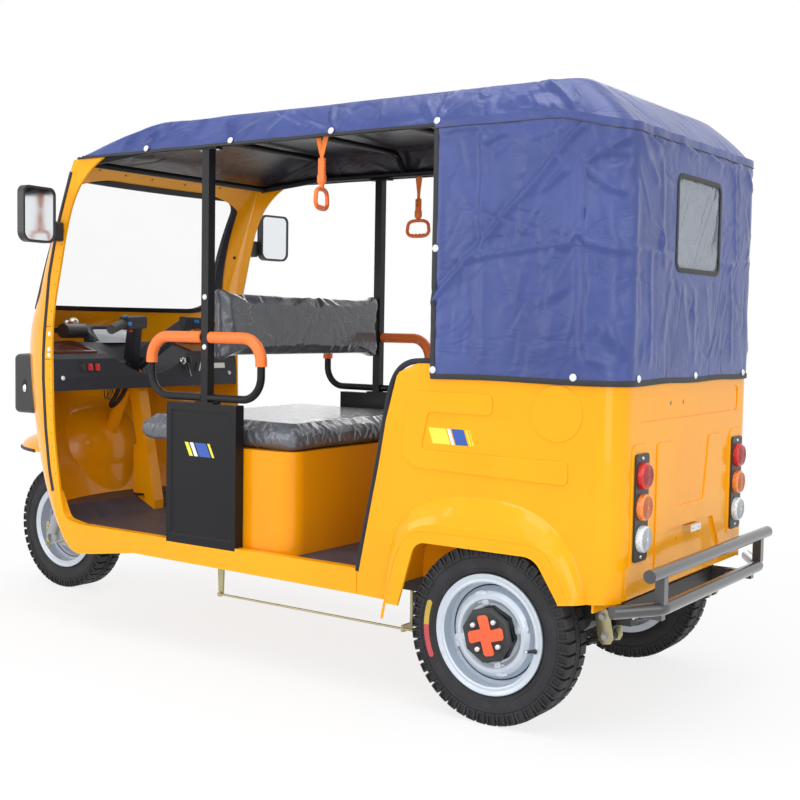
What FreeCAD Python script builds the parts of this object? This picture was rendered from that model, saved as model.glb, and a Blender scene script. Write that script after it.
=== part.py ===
import FreeCAD, Part
import math
import os

# Auto rickshaw with an electric drive, an open cab and a fabric roof, in millimetres.
# The nose points along -Y, +X is the vehicle's left side and +Z is up.
# It is drawn from the rear axle, at Y = 0, and then set with its origin on the ground,
# midway along its length.

vector = FreeCAD.Vector

# Layout
wheelbase = 2275.0
rear_track = 889.0
body_width = 970.0
rear_overhang = 370.0
bumper_reach = 470.0
sill_bottom = 298.0
floor_height = 366.0
belt_height = 990.0
eave_height = 1642.0
roof_height = 1747.0
panel = 8.0
seat_gap = 0.3

# Wheels
wheel_radius = 250.0
tyre_width = 100.0
rim_radius = 167.0
bead_radius = 152.0
rim_width = 92.0
rim_wall = 6.0
disc_wall = 5.0
disc_face = 24.0
hub_radius = 30.0
drum_radius = 85.0
hub_cover_across = 148.0
hub_cover_depth = 20.0
spindle_radius = 15.0
running_gap = 0.3

# Steering
rake = 25.0
fork_offset = 35.0
fork_spread = 95.0
fork_leg_radius = 22.0
fork_leg_length = 318.0
fork_bridge = 34.0
stem_radius = 14.0
head_radius = 26.0
head_length = 330.0
riser_height = 1085.0
bar_half = 180.0
bar_y = -1762.0
grip_radius = 17.0
grip_length = 150.0
axle_radius = 9.0
plate_radius = 80.0
brace_foot = 498.0
brace_half = 24.0
riser_foot = 930.0
stem_top = 950.0

# Cowl, windscreen and dashboard
cowl_back = 437.0
screen_bottom = 1120.0
header_top = 1640.0
glass = 6.0
seal_width = 18.0
seal_proud = 4.0
well_radius = 256.0
well_top = 790.0
column_radius = 45.0
mudguard_half = 240.0
mudguard_reach = 232.0
mudguard_back = 240.0
mudguard_foot = 570.0
mudguard_rise = 96.0
mudguard_wall = 6.0
dash_half = 474.0
dash_bottom = 834.0
dash_top = 1004.0
dash_face = 460.0
dash_wall = 5.0

# Driver's place
sill_inner = 455.0
sill_front = -1742.0
seat_y = -1075.0
seat_base_half = 445.0
seat_base_front = -1320.0
seat_base_back = -742.0
seat_base_top = 690.0
seat_base_wall = 8.0
cushion_half = 455.0
cushion_front = -1456.0
cushion_back = -720.0
cushion_top = 765.0
backrest_low = 950.0
backrest_high = 1216.0
backrest_depth = 62.0
side_box_inner = 448.0
side_box_front = -1243.0
side_box_back = -938.0
side_box_top = 828.0
pillar_y = -1078.0
pillar_size = 30.0
pillar_x = 468.0
pillar_top = 1642.0
tube_radius = 12.5
hoop_front = -1326.0
hoop_back = -846.0
hoop_low = 848.0
hoop_high = 1041.0
hoop_bend = 75.0
hoop_x = 472.0
cover_wall = 6.0

# Rear body
arch_front = -272.0
arch_back = 236.0
arch_crown = 484.0
housing_front = -300.0
housing_back = 300.0
housing_top = 522.0
housing_wall = 6.0
housing_gap = 28.0
rear_skirt = 380.0
corner_radius = 70.0
emboss = 4.0
plate_recess = 4.0
seam_x = 438.0
flare = 34.0
bench_top = 690.0
bench_front = -255.0
bench_half = 410.0
lamp_x = 356.0
lamp_radius = 36.0
lamp_plate_half = 41.0
plate_holes = 164.0

# Chassis
rail_x = 345.0
rail_width = 40.0
rail_height = 48.0
floor_thickness = 8.0
mat_thickness = 6.0
spring_x = 355.0
spring_width = 48.0
spring_reach = 298.0
spring_leaf = 8.0
axle_tube_radius = 30.0

# Roof
roof_wall = 8.0
curtain_front = -205.0
curtain_bottom = 951.0
curtain_proud = 4.0
rear_eave = 1600.0
roof_front = -1722.0
ridge_half = 438.0
ridge_front = -1366.0
ridge_back = 222.0
bow_radius = 11.0
rail_radius = 12.5
window_half = 160.0
window_low = 1255.0
window_high = 1512.0

half_width = body_width / 2
front_axle_y = -wheelbase
overall_length = wheel_radius + wheelbase + bumper_reach
shift_y = overall_length / 2 - bumper_reach
wheel_x = rear_track / 2
rear_panel_y = rear_overhang
cowl_y = front_axle_y + cowl_back
floor_top = floor_height - mat_thickness
rail_top = floor_top - floor_thickness
rail_bottom = rail_top - rail_height
housing_x = wheel_x - tyre_width / 2 - housing_gap
spring_top = wheel_radius - axle_tube_radius - 4
spring_eye_z = spring_top + 51


def rounded_path(points, radii, closed):
    # Straight runs joined by tangent arcs, one radius for each point.
    count = len(points)
    joints = []
    for index, corner in enumerate(points):
        radius = radii[index]
        is_end = not closed and index in (0, count - 1)
        if is_end or radius == 0:
            joints.append((corner, None, corner))
            continue
        before = (points[index - 1] - corner).normalize()
        after = (points[(index + 1) % count] - corner).normalize()
        half = before.getAngle(after) / 2
        reach = radius / math.tan(half)
        inward = (before + after).normalize() * (radius / math.sin(half) - radius)
        joints.append((corner + before * reach, corner + inward, corner + after * reach))
    edges = []
    for index, (start, middle, end) in enumerate(joints):
        if middle is not None:
            edges.append(Part.Arc(start, middle, end).toShape())
        if index == count - 1 and not closed:
            break
        following = joints[(index + 1) % count][0]
        if following.distanceToPoint(end) > 0.001:
            edges.append(Part.LineSegment(end, following).toShape())
    return Part.Wire(edges)


def outline(points, radius):
    radii = radius if isinstance(radius, list) else [radius] * len(points)
    return rounded_path(points, radii, True)


def side_prism(points, radius, x_low, x_high):
    wire = outline([vector(x_low, y, z) for y, z in points], radius)
    return Part.Face(wire).extrude(vector(x_high - x_low, 0, 0))


def top_prism(points, radius, z_low, z_high):
    wire = outline([vector(x, y, z_low) for x, y in points], radius)
    return Part.Face(wire).extrude(vector(0, 0, z_high - z_low))


def back_prism(points, radius, y_low, y_high):
    wire = outline([vector(x, y_low, z) for x, z in points], radius)
    return Part.Face(wire).extrude(vector(0, y_high - y_low, 0))


def block(x_low, x_high, y_low, y_high, z_low, z_high):
    corner = vector(x_low, y_low, z_low)
    return Part.makeBox(x_high - x_low, y_high - y_low, z_high - z_low, corner)


def rod(start, end, radius):
    along = end - start
    return Part.makeCylinder(radius, along.Length, start, along)


def pipe(points, bend, radius):
    # A round tube bent through the points.
    path = rounded_path(points, [bend] * len(points), False)
    ring = Part.Wire(Part.makeCircle(radius, points[0], points[1] - points[0]))
    return path.makePipeShell([ring], True, False)


def tapered_bar(start, end, side, start_size, end_size):
    # A bar of rectangular section, each size given as half width and half depth.
    along = (end - start).normalize()
    depth = along.cross(side).normalize()
    width = depth.cross(along).normalize()
    ends = []
    for centre, (half, thick) in ((start, start_size), (end, end_size)):
        corners = [
            centre + width * half + depth * thick,
            centre - width * half + depth * thick,
            centre - width * half - depth * thick,
            centre + width * half - depth * thick,
        ]
        ends.append(outline(corners, min(half, thick) * 0.5))
    return Part.makeLoft(ends, True, True)


def revolved(profile, x, y, z):
    # A profile of (distance along X, radius) points turned about a line along X.
    points = [vector(x + along, y, z + radius) for along, radius in profile]
    wire = Part.makePolygon(points + points[:1])
    return Part.Face(wire).revolve(vector(x, y, z), vector(1, 0, 0), 360)


def joined(*shapes):
    return shapes[0].multiFuse(list(shapes[1:])).removeSplitter()


def mirrored(shape):
    return shape.mirror(vector(0, 0, 0), vector(1, 0, 0))


def both_sides(shape):
    return Part.makeCompound([shape, mirrored(shape)])


def write(node, shape):
    placed = shape.copy()
    placed.translate(vector(0, shift_y, 0))
    placed.exportStep("parts/" + node + ".step")


# Wheels

def tyre(x, y):
    half = tyre_width / 2
    bead = rim_width / 2 - 7
    shoulder = half - 3
    shoulder_radius = wheel_radius - 9
    wall_radius = (rim_radius + wheel_radius) / 2

    def at(along, radius):
        return vector(x + along, y, wheel_radius + radius)

    edges = [
        Part.LineSegment(at(-bead, bead_radius), at(-bead, rim_radius + 3)).toShape(),
        Part.Arc(at(-bead, rim_radius + 3), at(-half, wall_radius), at(-shoulder, shoulder_radius)).toShape(),
        Part.Arc(at(-shoulder, shoulder_radius), at(0, wheel_radius),
                 at(shoulder, shoulder_radius)).toShape(),
        Part.Arc(at(shoulder, shoulder_radius), at(half, wall_radius), at(bead, rim_radius + 3)).toShape(),
        Part.LineSegment(at(bead, rim_radius + 3), at(bead, bead_radius)).toShape(),
        Part.LineSegment(at(bead, bead_radius), at(-bead, bead_radius)).toShape(),
    ]
    face = Part.Face(Part.Wire(edges))
    return face.revolve(vector(x, y, wheel_radius), vector(1, 0, 0), 360)


def rim(x, y, side):
    # A steel rim with a drop centre and a dished disc, its open face towards side.
    half = rim_width / 2
    lip = half - 5
    inner = bead_radius - rim_wall
    barrel = revolved(
        [(-half, inner), (-half, rim_radius), (-lip, rim_radius), (-lip, bead_radius),
         (lip, bead_radius), (lip, rim_radius), (half, rim_radius), (half, inner)],
        x, y, wheel_radius)
    face = [(4, inner + 2), (4, 134), (12, 126), (26, 118), (34, 106), (34, 96),
            (disc_face, 84), (disc_face, hub_radius)]
    back = [(along - disc_wall, radius) for along, radius in reversed(face)]
    dish = revolved([(along * side, radius) for along, radius in face + back], x, y, wheel_radius)
    rib = block(x + side * 22 - 10, x + side * 22 + 8, y - 13, y + 13, wheel_radius + 88, wheel_radius + 120)
    centre = vector(x, y, wheel_radius)
    ribs = []
    for turn in (20, 110, 200, 290):
        turned = rib.copy()
        turned.rotate(centre, vector(1, 0, 0), turn)
        ribs.append(turned)
    return joined(barrel, dish, *ribs)


def rear_hub(x, side):
    centre = vector(x, 0, wheel_radius)
    out = vector(side, 0, 0)
    drum = Part.makeCylinder(drum_radius, 38 + disc_face - disc_wall, centre - out * 38, out)
    neck = Part.makeCylinder(hub_radius, disc_wall + 2, centre + out * (disc_face - disc_wall - 1), out)
    corner_reach = hub_cover_across / 2 / math.cos(math.radians(22.5))
    corners = []
    for step in range(8):
        angle = math.radians(22.5 + 45 * step + 20)
        corners.append(vector(0, corner_reach * math.cos(angle), corner_reach * math.sin(angle)))
    seat = centre + out * disc_face
    cover = Part.Face(outline([seat + corner for corner in corners], 10)).extrude(out * hub_cover_depth)
    arms = []
    for turn in (20, 110):
        arm = block(x - 50, x + 50, -52, 52, wheel_radius - 15, wheel_radius + 15)
        arm.rotate(centre, vector(1, 0, 0), turn)
        arm = arm.common(Part.makeCylinder(60, 4, seat + out * (hub_cover_depth - 1), out))
        arms.append(arm)
    bore = Part.makeCylinder(spindle_radius + running_gap, 30, centre - out * 38, out)
    return joined(drum, neck, cover, *arms).cut(bore)


def front_hub():
    centre = vector(0, front_axle_y, wheel_radius)
    out = vector(1, 0, 0)
    back = disc_face - disc_wall
    drum = Part.makeCylinder(plate_radius + 4, back + 37, centre - out * back, out)
    boss = Part.makeCylinder(hub_radius, 84, centre - out * 48, out)
    bore = Part.makeCylinder(axle_radius + running_gap, 200, centre - out * 100, out)
    return joined(drum, boss).cut(bore)


# Steering

def steering_frame():
    # The wheel centre, the steering axis upwards and the way forward from it.
    up = vector(0, math.sin(math.radians(rake)), math.cos(math.radians(rake)))
    ahead = vector(0, -math.cos(math.radians(rake)), math.sin(math.radians(rake)))
    wheel_centre = vector(0, front_axle_y, wheel_radius)
    return wheel_centre, up, ahead


def axis_point(distance):
    wheel_centre, up, ahead = steering_frame()
    return wheel_centre - ahead * fork_offset + up * distance


def axis_at_height(height):
    wheel_centre, up, ahead = steering_frame()
    foot = axis_point(0)
    return axis_point((height - foot.z) / up.z)


bridge_start = fork_leg_length - fork_bridge
head_start = fork_leg_length + 8


def fork():
    wheel_centre, up, ahead = steering_frame()
    pieces = []
    for side in (-1, 1):
        foot = wheel_centre + vector(side * fork_spread, 0, 0)
        pieces.append(rod(foot - up * 24, foot + up * (fork_leg_length - fork_bridge), fork_leg_radius))
        pieces.append(rod(foot + up * 180, foot + up * fork_leg_length, fork_leg_radius - 6))
    left = wheel_centre + vector(fork_spread, 0, 0) + up * (bridge_start + fork_bridge / 2)
    right = wheel_centre - vector(fork_spread, 0, 0) + up * (bridge_start + fork_bridge / 2)
    beyond = vector(23, 0, 0)
    pieces.append(tapered_bar(right - beyond, left + beyond, ahead, (22, 17), (22, 17)))
    middle = axis_point(bridge_start + fork_bridge / 2)
    pieces.append(tapered_bar(middle - ahead * 26, middle + ahead * fork_offset, vector(1, 0, 0), (30, 17),
                              (60, 17)))
    pieces.append(rod(axis_point(bridge_start), axis_at_height(stem_top), stem_radius))
    pieces.append(rod(wheel_centre - vector(115, 0, 0), wheel_centre + vector(115, 0, 0), axle_radius))
    return joined(*pieces)


def front_brake_plate():
    wheel_centre, up, ahead = steering_frame()
    start = wheel_centre + vector(38.5, 0, 0)
    plate = Part.makeCylinder(plate_radius, 9, start, vector(1, 0, 0))
    boss = Part.makeCylinder(20, 26, start, vector(1, 0, 0))
    hole = Part.makeCylinder(axle_radius, 60, start - vector(5, 0, 0), vector(1, 0, 0))
    lever_start = wheel_centre + vector(52, 10, 45)
    pivot = rod(wheel_centre + vector(46, 10, 45), wheel_centre + vector(60, 10, 45), 8)
    lever = tapered_bar(lever_start, wheel_centre + vector(52, 95, 80), vector(0, 0, 1), (10, 4), (7, 4))
    return joined(plate, boss, pivot, lever).cut(hole)


def head_tube():
    # The tube that the stem turns in, its channel brace to the floor and the bar behind the dashboard.
    start = axis_point(head_start)
    end = axis_point(head_start + head_length)
    tube = rod(start, end, head_radius)
    bore = rod(axis_point(head_start - 10), axis_point(head_start + head_length + 10),
               stem_radius + running_gap)
    foot = front_axle_y + brace_foot
    top = front_axle_y + 380
    channel = side_prism([(foot, floor_top), (foot, floor_top + 40), (top + 26, 830), (top - 26, 830),
                          (foot - 52, floor_top + 40), (foot - 52, floor_top)], 0, -brace_half, brace_half)
    web = side_prism([(foot - 120, floor_top + 60), (foot - 50, floor_top + 60), (foot - 80, 640),
                      (foot - 120, 600)],
                     0, -brace_half + 4, brace_half - 4)
    bar_place = vector(0, cowl_y - 40, 857)
    gusset = block(-20, 20, front_axle_y + 376, cowl_y - 32, 812, 870)
    span = vector(half_width, 0, 0)
    bar = rod(bar_place - span, bar_place + span, 14).common(nose_solid(cowl_sections, panel))
    return joined(tube, channel, web, gusset, bar).cut(bore).cut(floor_pan())


def handlebar():
    # A vee of two arms on the stem, with a bar along the top of each.
    collar = rod(axis_at_height(riser_foot - 62), axis_at_height(stem_top + 12), 30)
    pieces = [collar]
    base = axis_at_height(riser_foot)
    for side in (-1, 1):
        low = base + vector(side * 12, 0, 0)
        high = vector(side * (bar_half - 40), bar_y, riser_height)
        pieces.append(tapered_bar(low, high, vector(0, 1, -1), (36, 18), (26, 20)))
        inner = vector(side * (bar_half - 75), bar_y, riser_height)
        outer = vector(side * (bar_half + 35), bar_y + 22, riser_height - 5)
        pieces.append(tapered_bar(inner, outer, vector(0, 0, 1), (24, 22), (24, 22)))
    stem_hole = rod(axis_at_height(riser_foot - 80), axis_at_height(stem_top), stem_radius)
    return joined(*pieces).cut(stem_hole)


def grips():
    start = vector(bar_half + 35, bar_y + 22, riser_height - 5)
    along = vector(120, 69, -21).normalize()
    bar = rod(start - along * 6, start + along * grip_length, grip_radius)
    return both_sides(bar.cut(handlebar()))


# Cowl and windscreen

def plan_wire(z, centre_y, half, depth, inset):
    # Half an ellipse round the nose with straight sides that run back past the door edge.
    back = cowl_y + 420
    across = half - inset
    reach = depth - inset
    left_back = vector(across, back, z)
    right_back = vector(-across, back, z)
    left = vector(across, centre_y, z)
    right = vector(-across, centre_y, z)
    ellipse = Part.Ellipse(vector(0, centre_y, z), across, reach)
    arc = Part.Arc(ellipse, math.pi, 2 * math.pi).toShape()
    edges = [
        Part.LineSegment(right_back, right).toShape(),
        arc,
        Part.LineSegment(left, left_back).toShape(),
        Part.LineSegment(left_back, right_back).toShape(),
    ]
    return Part.Wire(edges)


# Height, centre behind the widest station, and depth of each section of the nose.
cowl_sections = [(sill_bottom, 143, 245), (466, 64, 284), (608, 37, 322), (743, 25, 353), (966, 24, 400),
                 (screen_bottom, 33, 362)]
screen_sections = [(screen_bottom, 33, 362), (1319, 50, 237), (header_top, 142, 62)]


def nose_solid(sections, inset):
    wires = []
    for z, back, depth in sections:
        wires.append(plan_wire(z, cowl_y + back, half_width, depth, inset))
    return Part.makeLoft(wires, True, False)


def door_edge(offset):
    # The line of the front door opening, seen from the side.
    points = [(290, header_top), (216, 1597), (162, 1543), (98, 1398), (66, 1268), (34, 1130), (23, 1020),
              (23, 940),
              (26, 810), (36, 663), (55, 543), (68, 470), (96, 380), (146, 290)]
    return [(cowl_y + back + offset, z) for back, z in points]


def behind_door(offset):
    points = [vector(0, y, z) for y, z in door_edge(offset)]
    curve = Part.BSplineCurve()
    curve.interpolate(points)
    top = points[0]
    bottom = points[-1]
    back = cowl_y + 600
    edges = [
        curve.toShape(),
        Part.LineSegment(bottom, vector(0, bottom.y, 200)).toShape(),
        Part.LineSegment(vector(0, bottom.y, 200), vector(0, back, 200)).toShape(),
        Part.LineSegment(vector(0, back, 200), vector(0, back, 1700)).toShape(),
        Part.LineSegment(vector(0, back, 1700), vector(0, top.y, 1700)).toShape(),
        Part.LineSegment(vector(0, top.y, 1700), top).toShape(),
    ]
    face = Part.Face(Part.Wire(edges))
    face.translate(vector(-half_width - 50, 0, 0))
    return face.extrude(vector(body_width + 100, 0, 0))


def well_solid(inset):
    # The dome over the steered wheel, turned about an upright line through its axle.
    radius = well_radius - inset
    top = well_top - inset
    low = sill_bottom - 40
    profile = [vector(0, front_axle_y, low), vector(radius, front_axle_y, low),
               vector(radius, front_axle_y, 520)]
    edges = [Part.LineSegment(profile[0], profile[1]).toShape(),
             Part.LineSegment(profile[1], profile[2]).toShape()]
    shoulder = vector(radius * 0.84, front_axle_y, 520 + (top - 520) * 0.68)
    edges.append(Part.Arc(profile[2], shoulder, vector(0.1, front_axle_y, top)).toShape())
    edges.append(Part.LineSegment(vector(0.1, front_axle_y, top), vector(0, front_axle_y, top)).toShape())
    edges.append(Part.LineSegment(vector(0, front_axle_y, top), profile[0]).toShape())
    face = Part.Face(Part.Wire(edges))
    return face.revolve(vector(0, front_axle_y, 0), vector(0, 0, 1), 360)


def arch_cut():
    # The front wheel's opening, below the mudguard and on up to where its hood meets the nose.
    lower = block(-half_width, half_width, front_axle_y - 400, cowl_y + 500, 100, mudguard_foot + 2)
    hood = ellipsoid(mudguard_half - 9, mudguard_reach + mudguard_back - 9, mudguard_rise - 9)
    hood.translate(vector(0, front_axle_y + mudguard_back, mudguard_foot))
    return joined(lower, hood).common(well_solid(mudguard_wall))


def front_cowl():
    shell = nose_solid(cowl_sections, 0).cut(nose_solid(cowl_sections, panel))
    shell = shell.cut(behind_door(0)).cut(arch_cut())
    return shell.cut(both_sides(sill_solid()))


def wheel_well():
    dome = well_solid(0).cut(well_solid(mudguard_wall))
    inside = nose_solid(cowl_sections, panel + seat_gap)
    bore = rod(axis_point(head_start - 80), axis_point(head_start + head_length), head_radius + seat_gap)
    return dome.common(inside).cut(bore)


def window_prism(grow):
    # The windscreen opening, seen from the front.
    low = screen_bottom + 14 - grow
    high = 1588 + grow
    points = [(-452 - grow, low), (452 + grow, low), (418 + grow, high), (-418 - grow, high)]
    return back_prism(points, 60 + grow, cowl_y - 500, cowl_y + 62)


def windscreen_frame():
    shell = nose_solid(screen_sections, 0).cut(nose_solid(screen_sections, panel))
    return shell.cut(behind_door(0)).cut(window_prism(0))


def windscreen_seal():
    band = nose_solid(screen_sections, -seal_proud).cut(nose_solid(screen_sections, panel + seal_proud))
    ring = window_prism(seal_width / 2).cut(window_prism(-seal_width / 2))
    return band.common(ring).cut(windscreen_frame()).cut(windscreen_glass())


def windscreen_glass():
    sheet = nose_solid(screen_sections, 1).cut(nose_solid(screen_sections, 1 + glass))
    return sheet.common(window_prism(-4)).cut(behind_door(-30))


def ellipsoid(half, depth, rise):
    ball = Part.makeSphere(1)
    stretch = FreeCAD.Matrix()
    stretch.scale(half, depth, rise)
    return ball.transformGeometry(stretch)


def front_mudguard():
    depth = mudguard_reach + mudguard_back
    outer = ellipsoid(mudguard_half, depth, mudguard_rise)
    inner = ellipsoid(mudguard_half - mudguard_wall, depth - mudguard_wall, mudguard_rise - mudguard_wall)
    hood = outer.cut(inner)
    hood.translate(vector(0, front_axle_y + mudguard_back, mudguard_foot))
    keep = block(-300, 300, front_axle_y - 300, front_axle_y + mudguard_back, mudguard_foot, 700)
    return hood.common(keep).cut(nose_solid(cowl_sections, 0))


def headlamp_case():
    plan = [(262, -2200), (330, -2166), (424, -2100), (424, -1960), (262, -2060)]
    case = top_prism(plan, 26, 742, 960)
    return case.makeFillet(20, [edge for edge in case.Edges if edge.BoundBox.ZLength < 0.1])


def headlamp_lens():
    lens = rod(vector(340, -2260, 852), vector(352, -2100, 852), 66)
    return lens.common(headlamp_case())


def headlamp_housings():
    return both_sides(headlamp_case().cut(nose_solid(cowl_sections, 0)).cut(headlamp_lens()))


def headlamp_lenses():
    return both_sides(headlamp_lens().cut(nose_solid(cowl_sections, 0)))


# Dashboard

def dash_funnel(drop):
    # The hollow round the steering column, wide enough at the top for the handlebar's arms.
    start = axis_at_height(905 - drop)
    end = axis_at_height(1030 - drop)
    return Part.makeCone(62, 290, (end - start).Length, start, end - start)


def dashboard():
    face_y = front_axle_y + dash_face
    wall = dash_wall
    front = face_y - 292
    section = [(face_y, dash_bottom), (face_y + 3, 880), (face_y - 8, 948), (face_y - 30, 966),
               (face_y - 170, dash_top), (front, dash_top), (front, dash_top - wall),
               (face_y - 172, dash_top - wall), (face_y - 33, 966 - wall), (face_y - 8 - wall, 944),
               (face_y + 3 - wall, 880), (face_y - wall, dash_bottom)]
    skin = side_prism(section, 0, -dash_half, dash_half)
    inside = nose_solid(cowl_sections, panel + seat_gap)
    bounds = [(face_y + 1, dash_bottom + 6), (face_y + 2, 880), (face_y - 9, 947), (face_y - 31, 965),
              (face_y - 170, dash_top - 1), (front, dash_top - 1), (front, dash_bottom + 6)]
    bowl = dash_funnel(wall).cut(dash_funnel(0)).common(side_prism(bounds, 0, -dash_half, dash_half))
    column = rod(axis_at_height(700), axis_at_height(1150), column_radius)
    return joined(skin.cut(dash_funnel(0)), bowl).common(inside).cut(column)


def dash_trays():
    # Two shallow bins let into the slope of the dashboard's top.
    face_y = front_axle_y + dash_face
    slope = math.atan2(dash_top - 966, 140)
    tray = block(246, 440, -70, 66, -4, 7).cut(block(258, 428, -58, 54, 0, 20))
    tray.rotate(vector(0, 0, 0), vector(1, 0, 0), -math.degrees(slope))
    tray.translate(vector(0, face_y - 100, (dash_top + 966) / 2 + 1))
    inside = nose_solid(cowl_sections, panel + seat_gap)
    return both_sides(tray.common(inside).cut(dashboard()).Solids[0])


def display_pod():
    # The instrument, leaning back a little on the dashboard's shelf.
    low = front_axle_y + 218
    section = [(low, dash_top), (low + 34, dash_top), (low + 22, dash_top + 72), (low - 12, dash_top + 72)]
    return side_prism(section, 6, -130, 130).cut(dash_funnel(0))


def wiper_motor():
    start = vector(200, front_axle_y + 290, 1048)
    case = rod(start, start + vector(110, 20, 0), 27)
    stay = block(236, 262, front_axle_y + 90, front_axle_y + 290, 1038, 1058)
    return joined(case, stay.common(nose_solid(cowl_sections, panel)))


# Floor, sills and chassis

def floor_profile(low, thickness):
    # Flat floor with a step up to the toe board, seen from the side.
    front = cowl_y - 36
    foot = cowl_y + 60
    nose = front_axle_y
    return [(rear_panel_y - 60, low), (foot, low), (front, low + 44), (nose, low + 50),
            (nose, low + 50 + thickness),
            (front, low + 44 + thickness), (foot, low + thickness), (rear_panel_y - 60, low + thickness)]


def floor_pan():
    pan = side_prism(floor_profile(floor_top - floor_thickness, floor_thickness), 0, -sill_inner, sill_inner)
    inside = nose_solid(cowl_sections, panel + seat_gap)
    pan = pan.common(inside.fuse(block(-sill_inner, sill_inner, cowl_y + 300, rear_panel_y, 0, 600)))
    bay = block(housing_x - housing_wall, half_width, housing_front - 10, housing_back + 10, 0, 600)
    return pan.cut(bay).cut(mirrored(bay)).cut(well_solid(0))


def floor_mat():
    half = sill_inner - 1
    mat = side_prism(floor_profile(floor_top, mat_thickness), 0, -half, half)
    inside = nose_solid(cowl_sections, panel + 2)
    mat = mat.common(inside.fuse(block(-half, half, cowl_y + 300, bench_front - 1, 0, 600)))
    foot = front_axle_y + brace_foot
    hole = brace_half + 1
    base = block(-seat_base_half - 1, seat_base_half + 1, seat_base_front - 1, seat_base_back + 1, 300, 400)
    mat = mat.cut(base).cut(block(-hole, hole, foot - 121, foot + 1, 300, 500)).cut(well_solid(0))
    rest = block(-half, half, bench_front - 1, rear_panel_y, 300, 400)
    bay = block(housing_x - housing_wall - 1, half_width, housing_front - housing_wall - 1, 0, 300, 400)
    return mat.cut(rest).cut(bay).cut(mirrored(bay))


def sill_solid():
    # The sill with its front end swept up into the cowl.
    top = floor_height + 9
    points = [(cowl_y + 48, 480), (cowl_y + 96, 388), (cowl_y + 176, top), (-456, top), (-456, sill_bottom),
              (-1395, sill_bottom + 8), (-1622, 276), (-1681, 270), (-1711, 280), (-1747, 317), (-1774, 359),
              (cowl_y + 30, 440)]
    return side_prism(points, [0, 40, 0, 0, 0, 0, 0, 10, 10, 20, 20, 0], sill_inner, half_width)


def side_sills():
    hollow = block(sill_inner + 3, half_width - 6, cowl_y + 150, -462, sill_bottom - 40, floor_height)
    return both_sides(sill_solid().cut(hollow).cut(side_box_solid()))


def chassis():
    rail = block(rail_x - rail_width / 2, rail_x + rail_width / 2, cowl_y + 30, rear_panel_y - panel,
                 rail_bottom, rail_top)
    pieces = [rail, mirrored(rail)]
    crossings = (front_axle_y + brace_foot, seat_base_front + 30, seat_base_back - 30, housing_front - 40,
                 housing_back)
    for y in crossings:
        pieces.append(block(-rail_x, rail_x, y - 20, y + 20, rail_top - 40, rail_top))
    for y in (sill_front + 150, seat_y, -520):
        outrigger = block(rail_x, sill_inner, y - 15, y + 15, rail_top - 30, rail_top)
        pieces.append(outrigger)
        pieces.append(mirrored(outrigger))
    for hanger in spring_hangers():
        pieces.append(hanger)
        pieces.append(mirrored(hanger))
    return joined(*pieces)


def spring_arc(drop, reach, thickness):
    # One leaf, a bowed strip that hangs below the axle tube.
    top = spring_top - drop
    rise = 55 * (reach / spring_reach) ** 2
    points = [vector(0, -reach, top + rise), vector(0, 0, top), vector(0, reach, top + rise)]
    lower = [point - vector(0, 0, thickness) for point in points]
    edges = [
        Part.Arc(*points).toShape(),
        Part.LineSegment(points[2], lower[2]).toShape(),
        Part.Arc(lower[2], lower[1], lower[0]).toShape(),
        Part.LineSegment(lower[0], points[0]).toShape(),
    ]
    leaf = Part.Face(Part.Wire(edges)).extrude(vector(spring_width, 0, 0))
    leaf.translate(vector(spring_x - spring_width / 2, 0, 0))
    return leaf


def leaf_springs():
    leaves = []
    for step in range(5):
        leaves.append(spring_arc(step * spring_leaf, spring_reach - step * 48, spring_leaf))
    for side in (-1, 1):
        start = vector(spring_x - spring_width / 2, side * spring_reach, spring_eye_z)
        leaves.append(rod(start, start + vector(spring_width, 0, 0), 14))
    pack = joined(*leaves)
    for side in (-1, 1):
        pack = pack.cut(spring_bolt(side * spring_reach))
    return both_sides(pack)


def spring_bolt(y):
    start = vector(spring_x - spring_width / 2 - 12, y, spring_eye_z)
    return rod(start, start + vector(spring_width + 24, 0, 0), 7)


def spring_hangers():
    # Two cheek plates and a bolt at each end of a leaf spring, under the chassis rail.
    hangers = []
    inner = spring_x - spring_width / 2
    outer = spring_x + spring_width / 2
    for y in (-spring_reach, spring_reach):
        cap = block(inner - 7, outer + 7, y - 24, y + 24, rail_bottom - 6, rail_bottom)
        cheek = [(y - 24, rail_bottom), (y + 24, rail_bottom), (y + 15, spring_eye_z - 16),
                 (y - 15, spring_eye_z - 16)]
        near = side_prism(cheek, [0, 0, 12, 12], inner - 7, inner - 1)
        far = side_prism(cheek, [0, 0, 12, 12], outer + 1, outer + 7)
        hangers.append(joined(cap, near, far, spring_bolt(y)))
    return hangers


def rear_axle():
    ends = wheel_x - 40
    centre = vector(-40, 0, wheel_radius)
    tube = rod(vector(-ends, 0, wheel_radius), vector(ends, 0, wheel_radius), axle_tube_radius)
    housing = rod(centre - vector(62, 0, 0), centre + vector(62, 0, 0), 92)
    motor = rod(centre, centre - vector(0, 270, 0), 76)
    pieces = [tube, housing, motor]
    for side in (-1, 1):
        pieces.append(rod(vector(side * (ends - 8), 0, wheel_radius), vector(side * ends, 0, wheel_radius),
                          88))
        tip = side * (ends + 26)
        pieces.append(rod(vector(side * ends, 0, wheel_radius), vector(tip, 0, wheel_radius), spindle_radius))
        pad_top = wheel_radius - axle_tube_radius + 6
        pieces.append(block(side * spring_x - 26, side * spring_x + 26, -45, 45, pad_top - 10, pad_top))
    return joined(*pieces).cut(leaf_springs())


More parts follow.
